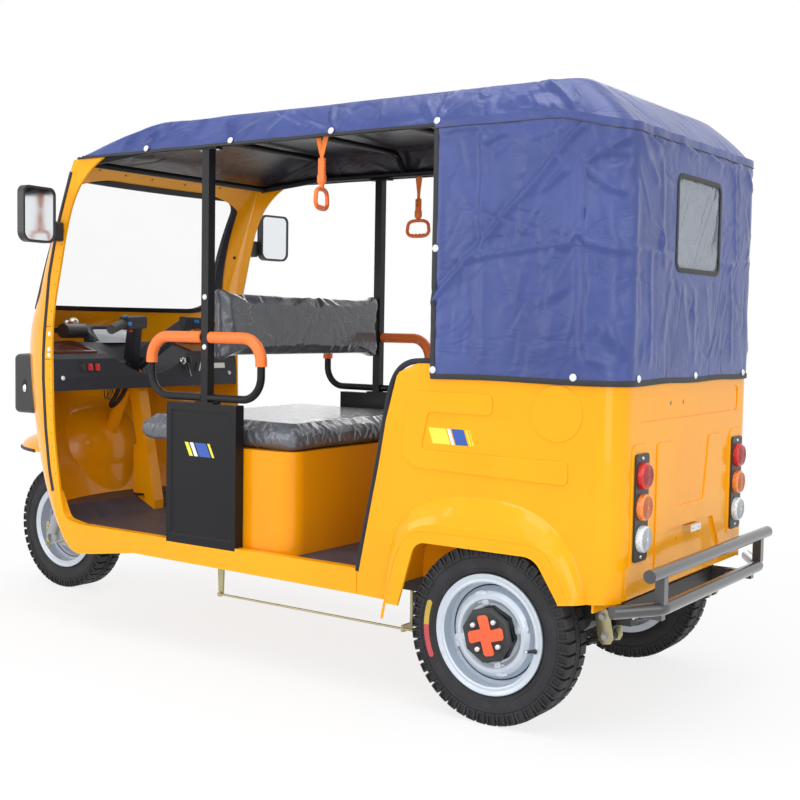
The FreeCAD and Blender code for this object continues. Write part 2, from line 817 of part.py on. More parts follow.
def brake_linkage():
    # A lever on the left rail and the thin rod that runs back from its foot through a guide.
    at = -1074
    top = rail_top - 32
    lever = side_prism([(at - 14, top), (at + 14, top), (at + 9, 190), (at - 7, 190)], [10, 10, 6, 6], 396,
                       404)
    pin = rod(vector(rail_x + rail_width / 2, at, top - 14), vector(400, at, top - 14), 8)
    link = rod(vector(407, at + 2, 198), vector(407, -255, 197), 3.5)
    joint = rod(vector(402, at + 2, 198), vector(412, at + 2, 198), 8)
    drop = block(rail_x + 12, rail_x + 20, -345, -337, 188, rail_bottom)
    guide = block(rail_x + 12, 411, -345, -337, 188, 208)
    return joined(lever, pin, link, joint, guide, drop)


# Driver's place

def side_box_solid():
    return block(side_box_inner, half_width, side_box_front, side_box_back, floor_height, side_box_top)


def side_boxes():
    outer = side_box_solid()
    inner = block(side_box_inner + 3, half_width - 7, side_box_front + 4, side_box_back - 4, floor_height + 4,
                  side_box_top - 4)
    frame = [(side_box_front + 26, floor_height + 32), (side_box_back - 26, floor_height + 32),
             (side_box_back - 26, side_box_top - 30), (side_box_front + 26, side_box_top - 30)]
    deep = Part.Face(outline([vector(half_width - 4, y, z) for y, z in frame], 6))
    wide = [(y + math.copysign(7, y - pillar_y), z + math.copysign(7, z - 600)) for y, z in frame]
    mouth = Part.Face(outline([vector(half_width, y, z) for y, z in wide], 8))
    recess = Part.makeLoft([deep.OuterWire, mouth.OuterWire], True, True)
    return both_sides(outer.cut(inner).cut(recess))


def seat_base():
    plan = [(-seat_base_half, seat_base_front), (seat_base_half, seat_base_front),
            (seat_base_half, seat_base_back), (-seat_base_half, seat_base_back)]
    wall = seat_base_wall
    inner = [(x - math.copysign(wall, x), y + (wall if y == seat_base_front else -wall)) for x, y in plan]
    outer = top_prism(plan, 65, floor_top, seat_base_top)
    hollow = top_prism(inner, 65 - wall, floor_top - 1, seat_base_top - wall)
    return outer.cut(hollow).cut(both_sides(side_box_solid()))


def battery_block():
    return block(-330, 330, seat_base_front + 40, seat_base_back - 40, floor_top, floor_top + 235)


def seat_cushion():
    plan = [(-cushion_half, cushion_front), (cushion_half, cushion_front),
            (cushion_half, cushion_back), (-cushion_half, cushion_back)]
    pad = top_prism(plan, 55, seat_base_top + seat_gap, cushion_top)
    pad = pad.makeFillet(14, [edge for edge in pad.Edges if edge.BoundBox.ZMin > cushion_top - 0.1])
    notch = block(side_box_inner - seat_gap, half_width, side_box_front - seat_gap, side_box_back + seat_gap,
                  0, 900)
    return pad.cut(notch).cut(mirrored(notch))


def backrest():
    half = pillar_x - pillar_size / 2 - seat_gap
    low = backrest_low
    high = backrest_high
    back = [(-half, low), (half, low), (half, high), (-half, high)]
    pad = back_prism(back, 22, pillar_y - backrest_depth / 2, pillar_y + backrest_depth / 2)
    return pad


def pillars():
    half = pillar_size / 2
    post = block(pillar_x - half, pillar_x + half, pillar_y - half, pillar_y + half, side_box_top, pillar_top)
    foot = block(side_box_inner + 1, half_width, pillar_y - 40, pillar_y + 40, side_box_top, side_box_top + 6)
    head = block(pillar_x - 15, pillar_x + 17, pillar_y - 45, pillar_y + 45, pillar_top - 6, pillar_top)
    return both_sides(joined(post, foot, head))


def armrest_hoops():
    hoops = []
    for start, end in ((pillar_y - pillar_size / 2, hoop_front), (pillar_y + pillar_size / 2, hoop_back)):
        hoops.append(pipe([vector(hoop_x, start, hoop_high), vector(hoop_x, end, hoop_high),
                           vector(hoop_x, end, hoop_low), vector(hoop_x, start, hoop_low)],
                          hoop_bend, tube_radius))
    return both_sides(Part.makeCompound(hoops))


def armrest_covers():
    covers = []
    for start, end in ((pillar_y - pillar_size / 2 - 3, hoop_front),
                       (pillar_y + pillar_size / 2 + 3, hoop_back)):
        turn = vector(hoop_x, end, hoop_high)
        points = [vector(hoop_x, start, hoop_high), turn, vector(hoop_x, end, hoop_high - hoop_bend - 12)]
        outer = pipe(points, hoop_bend, tube_radius + cover_wall)
        inner = pipe(points, hoop_bend, tube_radius + seat_gap)
        covers.append(outer.cut(inner))
    return both_sides(Part.makeCompound(covers))


# Rear body

def side_outline(inset):
    # The side panel from the door edge back to the rear corner, seen from the side.
    top = belt_height
    return [(-454 + inset, 364), (-411 + inset, 581), (-375 + inset, 759), (-321 + inset, 956),
            (-239 + inset, top), (rear_panel_y + 5, top), (rear_panel_y + 5, rear_skirt),
            (arch_back + 20, rear_skirt - 8), (arch_front - 10, sill_bottom - 4), (-454 + inset, sill_bottom)]


def arch_points(grow):
    # The rear wheel opening seen from the side, open at the bottom.
    return [(arch_front - 30 - grow, 240), (arch_front + 42 - grow, arch_crown + grow),
            (150 + grow * 0.6, arch_crown + grow), (arch_back - 14 + grow, rear_skirt - 8),
            (arch_back - 14 + grow, 240)]


def arch_prism(grow, x_low, x_high):
    return side_prism(arch_points(grow), [0, 45 + grow, 60 + grow, 12, 0], x_low, x_high)


def flare_solid(inset):
    # The raised form round the wheel opening, swelling out of the panel in a soft curve to its lip.
    base = [(-352, 240), (-345, 400), (-322, 510), (-272, 574), (-196, 610), (-70, 632), (50, 628),
            (146, 598),
            (220, 542), (268, 470), (292, 380), (296, 240)]
    lip = [(-330, 240), (-312, 330), (-288, 420), (-262, 474), (-222, 503), (-90, 507), (40, 507), (140, 504),
           (190, 470), (216, 424), (242, 376), (254, 240)]
    wires = []
    steps = 5
    for step in range(steps + 1):
        turn = math.radians(28 + 62 * step / steps)
        share = (math.cos(math.radians(28)) - math.cos(turn)) / math.cos(math.radians(28))
        rise = (math.sin(turn) - math.sin(math.radians(28))) / (1 - math.sin(math.radians(28)))
        x = half_width - panel + (flare + panel) * rise - inset
        line = []
        for (base_y, base_z), (lip_y, lip_z) in zip(base, lip):
            y = base_y + (lip_y - base_y) * share
            z = base_z + (lip_z - base_z) * share
            y += inset if y < -60 else -inset
            line.append(vector(x, y, z if z < 241 else z - inset))
        curve = Part.BSplineCurve()
        curve.interpolate(line)
        wires.append(Part.Wire([curve.toShape(), Part.LineSegment(line[-1], line[0]).toShape()]))
    return Part.makeLoft(wires, True, True)


def body_solid(inset):
    # The rear body as one block with rounded rear corners, from the door edge back.
    plan = [(-half_width + inset, -500), (half_width - inset, -500),
            (half_width - inset, rear_panel_y - inset),
            (-half_width + inset, rear_panel_y - inset)]
    return top_prism(plan, [0, 0, corner_radius - inset, corner_radius - inset], 200, 1100)


def raised(points, radius, height):
    # A pressed form that stands proud of the left side panel, with softened edges.
    pad = side_prism(points, radius, half_width - 1, half_width + height)
    rim = [edge for edge in pad.Edges if edge.BoundBox.XMin > half_width + height - 0.1]
    return pad.makeFillet(height * 0.6, rim)


def side_embosses():
    band = [(-282, 907), (-5, 907), (-5, 849), (-212, 849), (-236, 741), (227, 741), (227, 678), (-306, 690)]
    shape = raised(band, [38, 16, 16, 14, 16, 16, 16, 60], emboss)
    disc = rod(vector(half_width - 1, 190, 866), vector(half_width + 3, 190, 866), 75)
    rim = [edge for edge in disc.Edges if edge.BoundBox.XMin > half_width + 2.9]
    return shape, disc.makeFillet(2, rim)


def side_panel():
    shell = body_solid(0).cut(body_solid(panel))
    area = side_prism(side_outline(0), [0, 0, 0, 30, 60, 0, 0, 0, 0, 0], seam_x, half_width + flare + 1)
    bulge = flare_solid(0)
    flared = bulge.cut(flare_solid(panel)).common(area)
    skin = shell.common(area).cut(bulge)
    return joined(skin, flared, *side_embosses()).cut(arch_prism(0, 300, half_width + 100))


def rear_panel():
    shell = body_solid(0).cut(body_solid(panel))
    area = block(-seam_x, seam_x, rear_panel_y - 120, rear_panel_y + 5, rear_skirt + 5, belt_height)
    face = rear_panel_y
    door = [(246, 784), (133, 784), (100, 598), (-100, 598), (-133, 784), (-246, 784), (-246, 446),
            (246, 446)]
    pads = [back_prism(door, [16, 12, 14, 14, 12, 16, 0, 0], face - 1, face + emboss)]
    for side in (-1, 1):
        arch = [(side * 305, 470), (side * 305, 790), (side * 408, 790), (side * 408, 470)]
        pads.append(back_prism(arch, [0, 24, 24, 0], face - 1, face + emboss))
    for index, pad in enumerate(pads):
        rim = [edge for edge in pad.Edges if edge.BoundBox.YMin > face + emboss - 0.1]
        pads[index] = pad.makeFillet(emboss * 0.6, rim)
    plate = [(-176, 540), (176, 540), (236, 448), (236, 370), (-236, 370), (-236, 448)]
    pocket = back_prism(plate, [14, 14, 20, 0, 0, 20], face - plate_recess, face + 20)
    top = [(-372, 846), (-372, 922), (372, 922), (372, 846)]
    tray = back_prism(top, 18, face - 3, face + 20)
    holes = [tray]
    for x in (151, 60):
        holes.append(rod(vector(x, face - 20, 889), vector(x, face + 20, 889), 6))
    for x in (-plate_holes / 2, plate_holes / 2):
        holes.append(rod(vector(x, face - 20, 504), vector(x, face + 20, 504), 4))
    return joined(shell.common(area), *pads).cut(pocket).cut(Part.makeCompound(holes))


def wheel_housings():
    def shape(grow, x_low, x_high):
        points = [(housing_front - grow, floor_top - floor_thickness),
                  (housing_front - grow, housing_top + grow),
                  (housing_back + grow, housing_top + grow),
                  (housing_back + grow, floor_top - floor_thickness)]
        return side_prism(points, [0, 130 + grow, 130 + grow, 0], x_low, x_high)

    outer = shape(housing_wall, housing_x - housing_wall, half_width - panel - seat_gap)
    cover = outer.cut(shape(0, housing_x, half_width))
    return both_sides(cover)


def lamp_plates():
    plan = [(lamp_x - lamp_plate_half, 480), (lamp_x + lamp_plate_half, 480),
            (lamp_x + lamp_plate_half, 765), (lamp_x - lamp_plate_half, 765)]
    plate = back_prism(plan, 12, rear_panel_y + emboss, rear_panel_y + emboss + 6)
    return both_sides(plate)


def tail_lamps():
    lamps = []
    for z in (540, 624, 707):
        start = vector(lamp_x, rear_panel_y + emboss + 6, z)
        drum = Part.makeCylinder(lamp_radius, 12, start, vector(0, 1, 0))
        dome = Part.makeSphere(82, start - vector(0, 62, 0))
        lamps.append(joined(drum, dome.common(rod(start, start + vector(0, 30, 0), lamp_radius - 2))))
    return both_sides(Part.makeCompound(lamps))


def plate_lamp():
    return block(-38, 38, rear_panel_y - plate_recess, rear_panel_y + 22, 518, 537)


def bumper():
    upper_y = bumper_reach - 17.5 - 3
    lower_y = bumper_reach - 17.5
    upper = rod(vector(-455, upper_y, 463), vector(455, upper_y, 463), 17.5)
    lower = pipe([vector(506, 371, 369), vector(375, lower_y, 367), vector(-375, lower_y, 367),
                  vector(-506, 371, 369)], 60, 17.5)
    pieces = [upper, lower]
    for side in (-1, 1):
        pieces.append(block(side * 375 - 13, side * 375 + 13, upper_y - 13, upper_y + 13, 380, 450))
        low = side * rail_x - 12
        pieces.append(block(low, low + 24, rear_panel_y - panel, lower_y - 8, 330, 354))
    return joined(*pieces)


# Roof

def roof_solid(inset):
    half = half_width + curtain_proud
    sections = [
        (rear_eave - 40, half, roof_front, rear_panel_y + curtain_proud, 74),
        (rear_eave, half, roof_front, rear_panel_y + curtain_proud, 74),
        (eave_height + 8, half, roof_front + 8, rear_panel_y - 44, 74),
        (roof_height, ridge_half, ridge_front, ridge_back, 60),
    ]
    wires = []
    for z, across, front, back, radius in sections:
        low = z - inset if z == roof_height else z
        edge = across - inset
        corners = [vector(-edge, front + inset, low), vector(edge, front + inset, low),
                   vector(edge, back - inset, low), vector(-edge, back - inset, low)]
        wires.append(outline(corners, radius - inset))
    return Part.makeLoft(wires, True, True)


def roof_top_at(y):
    # Height of the roof's underside along its middle.
    start = roof_front + 8 + roof_wall
    slope = min(1.0, (y - start) / (ridge_front - roof_front - 8))
    return eave_height + 8 + (roof_height - eave_height - 8) * slope - roof_wall


def curtain_solid(inset):
    half = half_width + curtain_proud - inset
    back = rear_panel_y + curtain_proud - inset
    plan = [(-half, curtain_front), (half, curtain_front), (half, back), (-half, back)]
    corner = corner_radius + curtain_proud - inset
    return top_prism(plan, [0, 0, corner, corner], curtain_bottom, rear_eave + 1)


def canopy_roof():
    shell = roof_solid(0).cut(roof_solid(roof_wall))
    keep = block(-600, 600, roof_front - 50, rear_panel_y + 50, eave_height, roof_height + 50)
    return shell.common(keep)


def canopy_curtain():
    # The cloth below the eave, with a hem that hangs over the top of the rear body.
    low_keep = block(-600, 600, curtain_front, rear_panel_y + 50, rear_eave, eave_height)
    upper = roof_solid(0).cut(roof_solid(roof_wall)).common(low_keep)
    lower = curtain_solid(0).cut(curtain_solid(roof_wall))
    lower = lower.common(block(-600, 600, curtain_front, rear_panel_y + 50, belt_height + seat_gap,
                               rear_eave))
    hem = curtain_solid(0).cut(curtain_solid(curtain_proud - seat_gap))
    hem = hem.common(block(-600, 600, curtain_front, rear_panel_y + 50, curtain_bottom, belt_height + 1))
    window = [(-window_half, window_low), (window_half, window_low), (window_half, window_high),
              (-window_half, window_high)]
    hole = back_prism(window, 25, rear_panel_y - 40, rear_panel_y + 40)
    return joined(upper, lower, hem).cut(hole)


def rear_window():
    window = [(-window_half, window_low), (window_half, window_low), (window_half, window_high),
              (-window_half, window_high)]
    return back_prism(window, 25, rear_panel_y - 4, rear_panel_y - 2)


def roof_frame():
    rail_z = eave_height + rail_radius + 1
    rail_side = half_width - 24
    nose_y = roof_front + 54
    pieces = []
    for side in (-1, 1):
        x = side * rail_side
        pieces.append(pipe([vector(x, nose_y, eave_height - 14), vector(x, ridge_front, rail_z),
                            vector(x, ridge_back + 18, rail_z)], 300, rail_radius))
        for y in (curtain_front + 20, ridge_back):
            pieces.append(rod(vector(x, y, belt_height), vector(x, y, rail_z), rail_radius - 1))
    pieces.append(rod(vector(-rail_side, nose_y + 12, eave_height - 13),
                      vector(rail_side, nose_y + 12, eave_height - 13),
                      bow_radius))
    for y in (-1337, -965, -568, curtain_front + 20, ridge_back - 20):
        top = roof_top_at(y - bow_radius) - bow_radius - 3
        inner = ridge_half - 34
        points = [vector(rail_side, y, rail_z), vector(inner, y, top), vector(-inner, y, top),
                  vector(-rail_side, y, rail_z)]
        pieces.append(pipe(points, 40, bow_radius))
    return joined(*pieces)


# Trim and fittings

def mirror_head(outline_points, radii, low, high):
    # A slab of the left mirror, turned a little towards the driver.
    slab = back_prism(outline_points, radii, low, high)
    slab.rotate(vector(611, -1740, 0), vector(0, 0, 1), 6.6)
    return slab


def mirrors():
    arm = pipe([vector(440, -1786, 1400), vector(545, -1766, 1385), vector(590, -1742, 1420)], 20, 10)
    bracket = side_prism([(-1800, 1362), (-1752, 1362), (-1752, 1426), (-1784, 1434)], 8, 440, 532)
    arm = joined(arm, bracket).cut(nose_solid(screen_sections, 0)).cut(behind_door(0))
    head = mirror_head([(536, 1350), (687, 1350), (687, 1539), (536, 1539)], [34, 34, 26, 26], -1752, -1724)
    face = mirror_head([(544, 1358), (679, 1358), (679, 1531), (544, 1531)], [28, 28, 20, 20], -1730, -1715)
    return both_sides(joined(arm, head).cut(face))


def mirror_glass():
    face = mirror_head([(544.5, 1358.5), (678.5, 1358.5), (678.5, 1530.5), (544.5, 1530.5)],
                       [27.5, 27.5, 19.5, 19.5], -1730, -1727)
    return both_sides(face)


def grab_straps():
    # A webbing band round the roof rail, its stiff sleeve and the ring to hold.
    rail_z = eave_height + rail_radius + 1
    straps = []
    for side, y, low, turn in ((1, -624, 1428, -58), (-1, -899, 1416, 38)):
        x = side * (half_width - 24)
        loop = rod(vector(x, y - 19, rail_z), vector(x, y + 19, rail_z), rail_radius + 3)
        hole = rod(vector(x, y - 20, rail_z), vector(x, y + 20, rail_z), rail_radius + seat_gap)
        band = block(x - 3, x + 3, y - 19, y + 19, low + 100, rail_z - rail_radius)
        sleeve = block(x - 9, x + 9, y - 17, y + 17, low + 75, low + 130)
        ring = Part.makeTorus(32, 8, vector(x, y, low + 42), vector(1, 0, 0))
        neck = block(x - 8, x + 8, y - 13, y + 13, low + 70, low + 80)
        handle = joined(sleeve, neck, ring)
        handle.rotate(vector(x, y, low), vector(0, 0, 1), turn)
        strap = joined(loop, band, handle).cut(hole)
        straps.append(strap.cut(canopy_roof()))
    return Part.makeCompound(straps)


def bench_base():
    inner = housing_x - housing_wall - 1
    over = housing_top + housing_wall + 2
    front = [(-bench_half, bench_top), (-bench_half, over), (-inner, over), (-inner, floor_top),
             (inner, floor_top),
             (inner, over), (bench_half, over), (bench_half, bench_top)]
    wall = back_prism(front, 0, bench_front, bench_front + 8)
    top = block(-bench_half, bench_half, bench_front, rear_panel_y - panel - 60, bench_top - 8, bench_top)
    return joined(wall, top)


def bench_cushion():
    pad = top_prism([(-bench_half, bench_front - 20), (bench_half, bench_front - 20),
                     (bench_half, 235), (-bench_half, 235)], 40, bench_top + seat_gap, bench_top + 80)
    return pad


def bench_back():
    back = rear_panel_y - panel - seat_gap
    return back_prism([(-bench_half, 800), (bench_half, 800), (bench_half, 1240), (-bench_half, 1240)], 40,
                      back - 66, back)


def main():
    os.makedirs("parts", exist_ok=True)
    write("tyre_left", tyre(wheel_x, 0))
    write("tyre_right", tyre(-wheel_x, 0))
    write("tyre_front", tyre(0, front_axle_y))
    write("rim_left", rim(wheel_x, 0, 1))
    write("rim_right", rim(-wheel_x, 0, -1))
    write("rim_front", rim(0, front_axle_y, -1))
    write("hub_left", rear_hub(wheel_x, 1))
    write("hub_right", rear_hub(-wheel_x, -1))
    write("hub_front", front_hub())
    write("fork", fork())
    write("front_brake_plate", front_brake_plate())
    write("handlebar", handlebar())
    write("grips", grips())
    write("steering_head", head_tube())
    write("front_cowl", front_cowl())
    write("wheel_well", wheel_well())
    write("windscreen_frame", windscreen_frame())
    write("windscreen_seal", windscreen_seal())
    write("windscreen_glass", windscreen_glass())
    write("front_mudguard", front_mudguard())
    write("headlamp_housings", headlamp_housings())
    write("headlamp_lenses", headlamp_lenses())
    write("dashboard", dashboard())
    write("dash_trays", dash_trays())
    write("display_pod", display_pod())
    write("wiper_motor", wiper_motor())
    write("floor_pan", floor_pan())
    write("floor_mat", floor_mat())
    write("side_sills", side_sills())
    write("chassis", chassis())
    write("leaf_springs", leaf_springs())
    write("rear_axle", rear_axle())
    write("brake_linkage", brake_linkage())
    write("side_boxes", side_boxes())
    write("seat_base", seat_base())
    write("battery_block", battery_block())
    write("seat_cushion", seat_cushion())
    write("backrest", backrest())
    write("pillars", pillars())
    write("armrest_hoops", armrest_hoops())
    write("armrest_covers", armrest_covers())
    write("side_panel_left", side_panel())
    write("side_panel_right", mirrored(side_panel()))
    write("rear_panel", rear_panel())
    write("wheel_housings", wheel_housings())
    write("lamp_plates", lamp_plates())
    write("tail_lamps", tail_lamps())
    write("plate_lamp", plate_lamp())
    write("bumper", bumper())
    write("canopy_roof", canopy_roof())
    write("canopy_curtain", canopy_curtain())
    write("rear_window", rear_window())
    write("roof_frame", roof_frame())
    write("mirrors", mirrors())
    write("mirror_glass", mirror_glass())
    write("grab_straps", grab_straps())
    write("bench_base", bench_base())
    write("bench_cushion", bench_cushion())
    write("bench_back", bench_back())


main()
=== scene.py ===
import math
import bmesh
import bpy
import numpy as np
from mathutils import Matrix, Vector


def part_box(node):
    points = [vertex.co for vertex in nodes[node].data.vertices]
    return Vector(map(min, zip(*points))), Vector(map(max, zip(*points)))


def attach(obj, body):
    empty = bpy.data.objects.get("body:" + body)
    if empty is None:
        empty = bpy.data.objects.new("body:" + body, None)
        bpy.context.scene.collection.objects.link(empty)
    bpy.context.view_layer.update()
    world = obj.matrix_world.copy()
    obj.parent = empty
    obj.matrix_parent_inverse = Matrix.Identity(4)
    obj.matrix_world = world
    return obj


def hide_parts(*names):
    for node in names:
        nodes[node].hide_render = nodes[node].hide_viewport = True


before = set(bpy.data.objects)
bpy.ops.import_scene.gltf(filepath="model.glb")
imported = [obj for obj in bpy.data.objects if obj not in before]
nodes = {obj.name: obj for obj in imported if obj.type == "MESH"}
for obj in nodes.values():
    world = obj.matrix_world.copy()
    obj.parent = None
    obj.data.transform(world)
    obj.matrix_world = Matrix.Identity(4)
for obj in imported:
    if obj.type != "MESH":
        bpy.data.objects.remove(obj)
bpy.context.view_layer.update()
print("frame loaded:", len(nodes), "nodes")


# Shader maths: a socket that takes part in sums, and one call for any other node.

class Flow:
    def __init__(self, paint, socket):
        self.paint = paint
        self.socket = socket

    def math(self, operation, *values):
        return self.paint.node("ShaderNodeMath", {"operation": operation}, dict(enumerate(values)))

    def __add__(self, other):
        return self.math("ADD", self, other)

    def __radd__(self, other):
        return self.math("ADD", other, self)

    def __sub__(self, other):
        return self.math("SUBTRACT", self, other)

    def __rsub__(self, other):
        return self.math("SUBTRACT", other, self)

    def __mul__(self, other):
        return self.math("MULTIPLY", self, other)

    def __rmul__(self, other):
        return self.math("MULTIPLY", other, self)

    def __abs__(self):
        return self.math("ABSOLUTE", self)

    def above(self, low, high):
        # 0 under low, 1 over high and smooth between them.
        return self.paint.node("ShaderNodeMapRange", {"interpolation_type": "SMOOTHSTEP"},
                               {"Value": self, "From Min": low, "From Max": high})

    def most(self, other):
        return self.math("MAXIMUM", self, other)


class Paint:
    def __init__(self, name, **uniform):
        self.material = bpy.data.materials.new(name)
        self.material.use_nodes = True
        self.tree = self.material.node_tree
        self.shader = self.tree.nodes["Principled BSDF"]
        for key, value in uniform.items():
            self.shader.inputs[key.replace("_", " ")].default_value = value
        self.place = self.node("ShaderNodeTexCoord", {}, {}, "Object")

    def node(self, kind, settings, inputs, output=0):
        made = self.tree.nodes.new(kind)
        for key, value in settings.items():
            if key == "stops":
                ramp = made.color_ramp.elements
                while len(ramp) < len(value):
                    ramp.new(0.5)
                for stop, (position, colour) in zip(ramp, value):
                    stop.position = position
                    stop.color = (*colour, 1.0)
            else:
                setattr(made, key, value)
        for key, value in inputs.items():
            self.link(value, made.inputs[key])
        return Flow(self, made.outputs[output])

    def link(self, value, socket):
        if isinstance(value, Flow):
            self.tree.links.new(value.socket, socket)
        else:
            socket.default_value = value

    def set(self, **inputs):
        for key, value in inputs.items():
            self.link(value, self.shader.inputs[key.replace("_", " ")])

    def noise(self, scale, detail=3.0, roughness=0.5, stretch=None, distortion=0.0):
        place = self.place
        if stretch:
            place = self.node("ShaderNodeMapping", {}, {"Vector": place, "Scale": stretch})
        return self.node("ShaderNodeTexNoise", {}, {"Vector": place, "Scale": scale, "Detail": detail,
                                                    "Roughness": roughness, "Distortion": distortion})

    def waves(self, direction, scale, distortion):
        settings = {"wave_type": "BANDS", "bands_direction": direction}
        inputs = {"Vector": self.place, "Scale": scale, "Distortion": distortion}
        return self.node("ShaderNodeTexWave", settings, inputs)

    def cells(self, feature, scale):
        return self.node("ShaderNodeTexVoronoi", {"feature": feature}, {"Vector": self.place, "Scale": scale})

    def ridges(self, *noise):
        # 0 along the lines where a noise crosses its middle, and more to both sides of them.
        return abs(self.noise(*noise) - 0.5)

    def mix(self, factor, first, second):
        return self.node("ShaderNodeMix", {"data_type": "RGBA"}, {0: factor, 6: first, 7: second}, 2)

    def bump(self, height, distance, strength=1.0, normal=None):
        inputs = {"Height": height, "Distance": distance, "Strength": strength}
        if normal:
            inputs["Normal"] = normal
        return self.node("ShaderNodeBump", {}, inputs)

    def edges(self, radius):
        # Where the surface turns, for wear on edges.
        rounded = self.node("ShaderNodeBevel", {"samples": 4}, {"Radius": radius})
        flat = self.node("ShaderNodeNewGeometry", {}, {}, "Normal")
        same = self.node("ShaderNodeVectorMath", {"operation": "DOT_PRODUCT"}, {0: rounded, 1: flat}, 1)
        return 1 - same


def rgb(red, green, blue):
    return (red, green, blue, 1.0)


def scaled(colour, share):
    # The colour made darker or lighter by a share, and never over 1.
    return rgb(*[min(1.0, channel * share) for channel in colour])


# Finishes

def yellowPaint(name, colour, deep, dust=0.0):
    paint = Paint(name, Metallic=0.0, Coat_Weight=0.42, Coat_Roughness=0.05, Specular_IOR_Level=0.1)
    broad = paint.noise(2.3, 3)
    fine = paint.noise(900, 2)
    base = paint.mix(broad.above(0.3, 0.75), rgb(*colour), rgb(*deep))
    low = paint.node("ShaderNodeSeparateXYZ", {}, {"Vector": paint.place}, "Z")
    splash = paint.noise(38, 5, 0.65).above(0.52, 0.75) * (1 - low.above(0.28, 0.42)) * dust
    paint.set(Base_Color=paint.mix(splash, base, rgb(0.42, 0.3, 0.16)),
              Roughness=0.2 + broad * 0.1 + splash * 0.5)
    ripple = paint.noise(7, 2)
    paint.set(Normal=paint.bump(ripple * 0.6 + fine * 0.02, 0.0012))
    return paint.material


def plainPaint(name, colour, roughness, coat, grain, depth, scale=700, metallic=0.0, wear=None, shine=0.5):
    paint = Paint(name, Metallic=metallic, Coat_Weight=coat, Coat_Roughness=0.12, Specular_IOR_Level=shine)
    cloud = paint.noise(9, 4, 0.6)
    speck = paint.noise(scale, 2)
    base = paint.mix(cloud, scaled(colour, 1 - grain), rgb(*colour))
    if wear:
        worn = paint.edges(0.003).above(0.05, 0.3) * paint.noise(60, 3).above(0.45, 0.6)
        base = paint.mix(worn, base, rgb(*wear))
    paint.set(Base_Color=base, Roughness=roughness - 0.06 + cloud * 0.12,
              Normal=paint.bump(speck, depth))
    return paint.material


def canvasFinish(name, colour, pale):
    # Coated cloth: a fine square weave under a soft skin, crumpled by folding.
    paint = Paint(name, Specular_IOR_Level=0.62, Sheen_Weight=0.06, Sheen_Roughness=0.4)
    acrossWeave = paint.waves("Z", 210.0, 0.4)
    alongWeave = paint.waves("Y", 210.0, 0.4)
    crumple = paint.ridges(5.5, 4, 0.55, (1, 1, 1.6), 0.8)
    fold = paint.ridges(2.2, 2, 0.5, (1, 0.7, 1), 1.4)
    cloud = paint.noise(3, 4, 0.6)
    base = paint.mix(cloud.above(0.35, 0.7), rgb(*colour), rgb(*pale))
    weave = paint.bump((acrossWeave + alongWeave) * 0.5, 0.00018, 0.6)
    wrinkled = paint.bump(crumple.above(0.0, 0.1) * 0.5 + fold.above(0.0, 0.05), 0.003, 0.5, weave)
    paint.set(Base_Color=base, Roughness=0.26 + cloud * 0.1, Normal=wrinkled)
    return paint.material


def wrappedLeather(name, colour):
    # Grey leatherette under the clear film that it was delivered in.
    paint = Paint(name, Coat_Weight=0.75, Coat_Roughness=0.08, Coat_IOR=1.45, Specular_IOR_Level=0.35)
    grain = paint.cells("DISTANCE_TO_EDGE", 420.0)
    broad = paint.ridges(6, 3, 0.5, (0.7, 1, 2.2), 0.7)
    middle = paint.ridges(15, 3, 0.5, (1.6, 0.8, 0.6), 0.9)
    small = paint.ridges(34, 2, 0.5, (0.5, 1.2, 1.2), 0.6)
    crease = 1 - broad.above(0.0, 0.02)
    crease = crease + (1 - middle.above(0.0, 0.022)) * 0.5 + (1 - small.above(0.0, 0.03)) * 0.2
    # Paler along the creases: partly the film's own whitening in its folds, partly painted highlight.
    creaseWhiteAndHighlight = crease.above(0.75, 1.6) * 0.35
    leather = paint.mix(paint.noise(5, 3), scaled(colour, 0.8), rgb(*colour))
    base = paint.mix(creaseWhiteAndHighlight, leather, rgb(0.62, 0.65, 0.7))
    fine = paint.bump(grain, 0.0002, 0.4)
    paint.set(Base_Color=base, Roughness=0.35 + creaseWhiteAndHighlight * 0.2,
              Normal=paint.bump(crease * 0.35 + broad * 3.0 + middle * 1.5, 0.004, 0.75, fine))
    return paint.material


def rubberFinish(name, colour, roughness, depth=0.0003):
    paint = Paint(name, Specular_IOR_Level=0.35)
    dust = paint.noise(14, 5, 0.65).above(0.45, 0.75)
    speck = paint.noise(520, 2)
    dusty = rgb(*[channel * 2.1 + 0.01 for channel in colour])
    paint.set(Base_Color=paint.mix(dust * 0.5, rgb(*colour), dusty),
              Roughness=roughness + dust * 0.1, Normal=paint.bump(speck, depth))
    return paint.material


def ribbedRubber(name, colour):
    # Floor mat: fine ribs along the vehicle and a little dust between them.
    paint = Paint(name, Specular_IOR_Level=0.4)
    rib = paint.waves("X", 34.0, 0.15)
    dust = paint.noise(5, 5, 0.7, (3, 0.6, 1)).above(0.4, 0.75)
    base = paint.mix(dust, rgb(*colour), scaled(colour, 2.0))
    paint.set(Base_Color=base, Roughness=0.4 + dust * 0.2, Normal=paint.bump(rib.above(0.2, 0.8), 0.0006))
    return paint.material


def rimFinish(name, colour):
    paint = Paint(name, Metallic=0.35, Coat_Weight=0.3, Coat_Roughness=0.2)
    fleck = paint.noise(1400, 2)
    dirt = paint.noise(46, 5, 0.7).above(0.6, 0.78)
    base = paint.mix(fleck.above(0.4, 0.6), rgb(*colour), scaled(colour, 1.15))
    paint.set(Base_Color=paint.mix(dirt * 0.7, base, rgb(0.33, 0.2, 0.1)), Roughness=0.42 + dirt * 0.3,
              Normal=paint.bump(paint.noise(240, 2), 0.0001))
    return paint.material


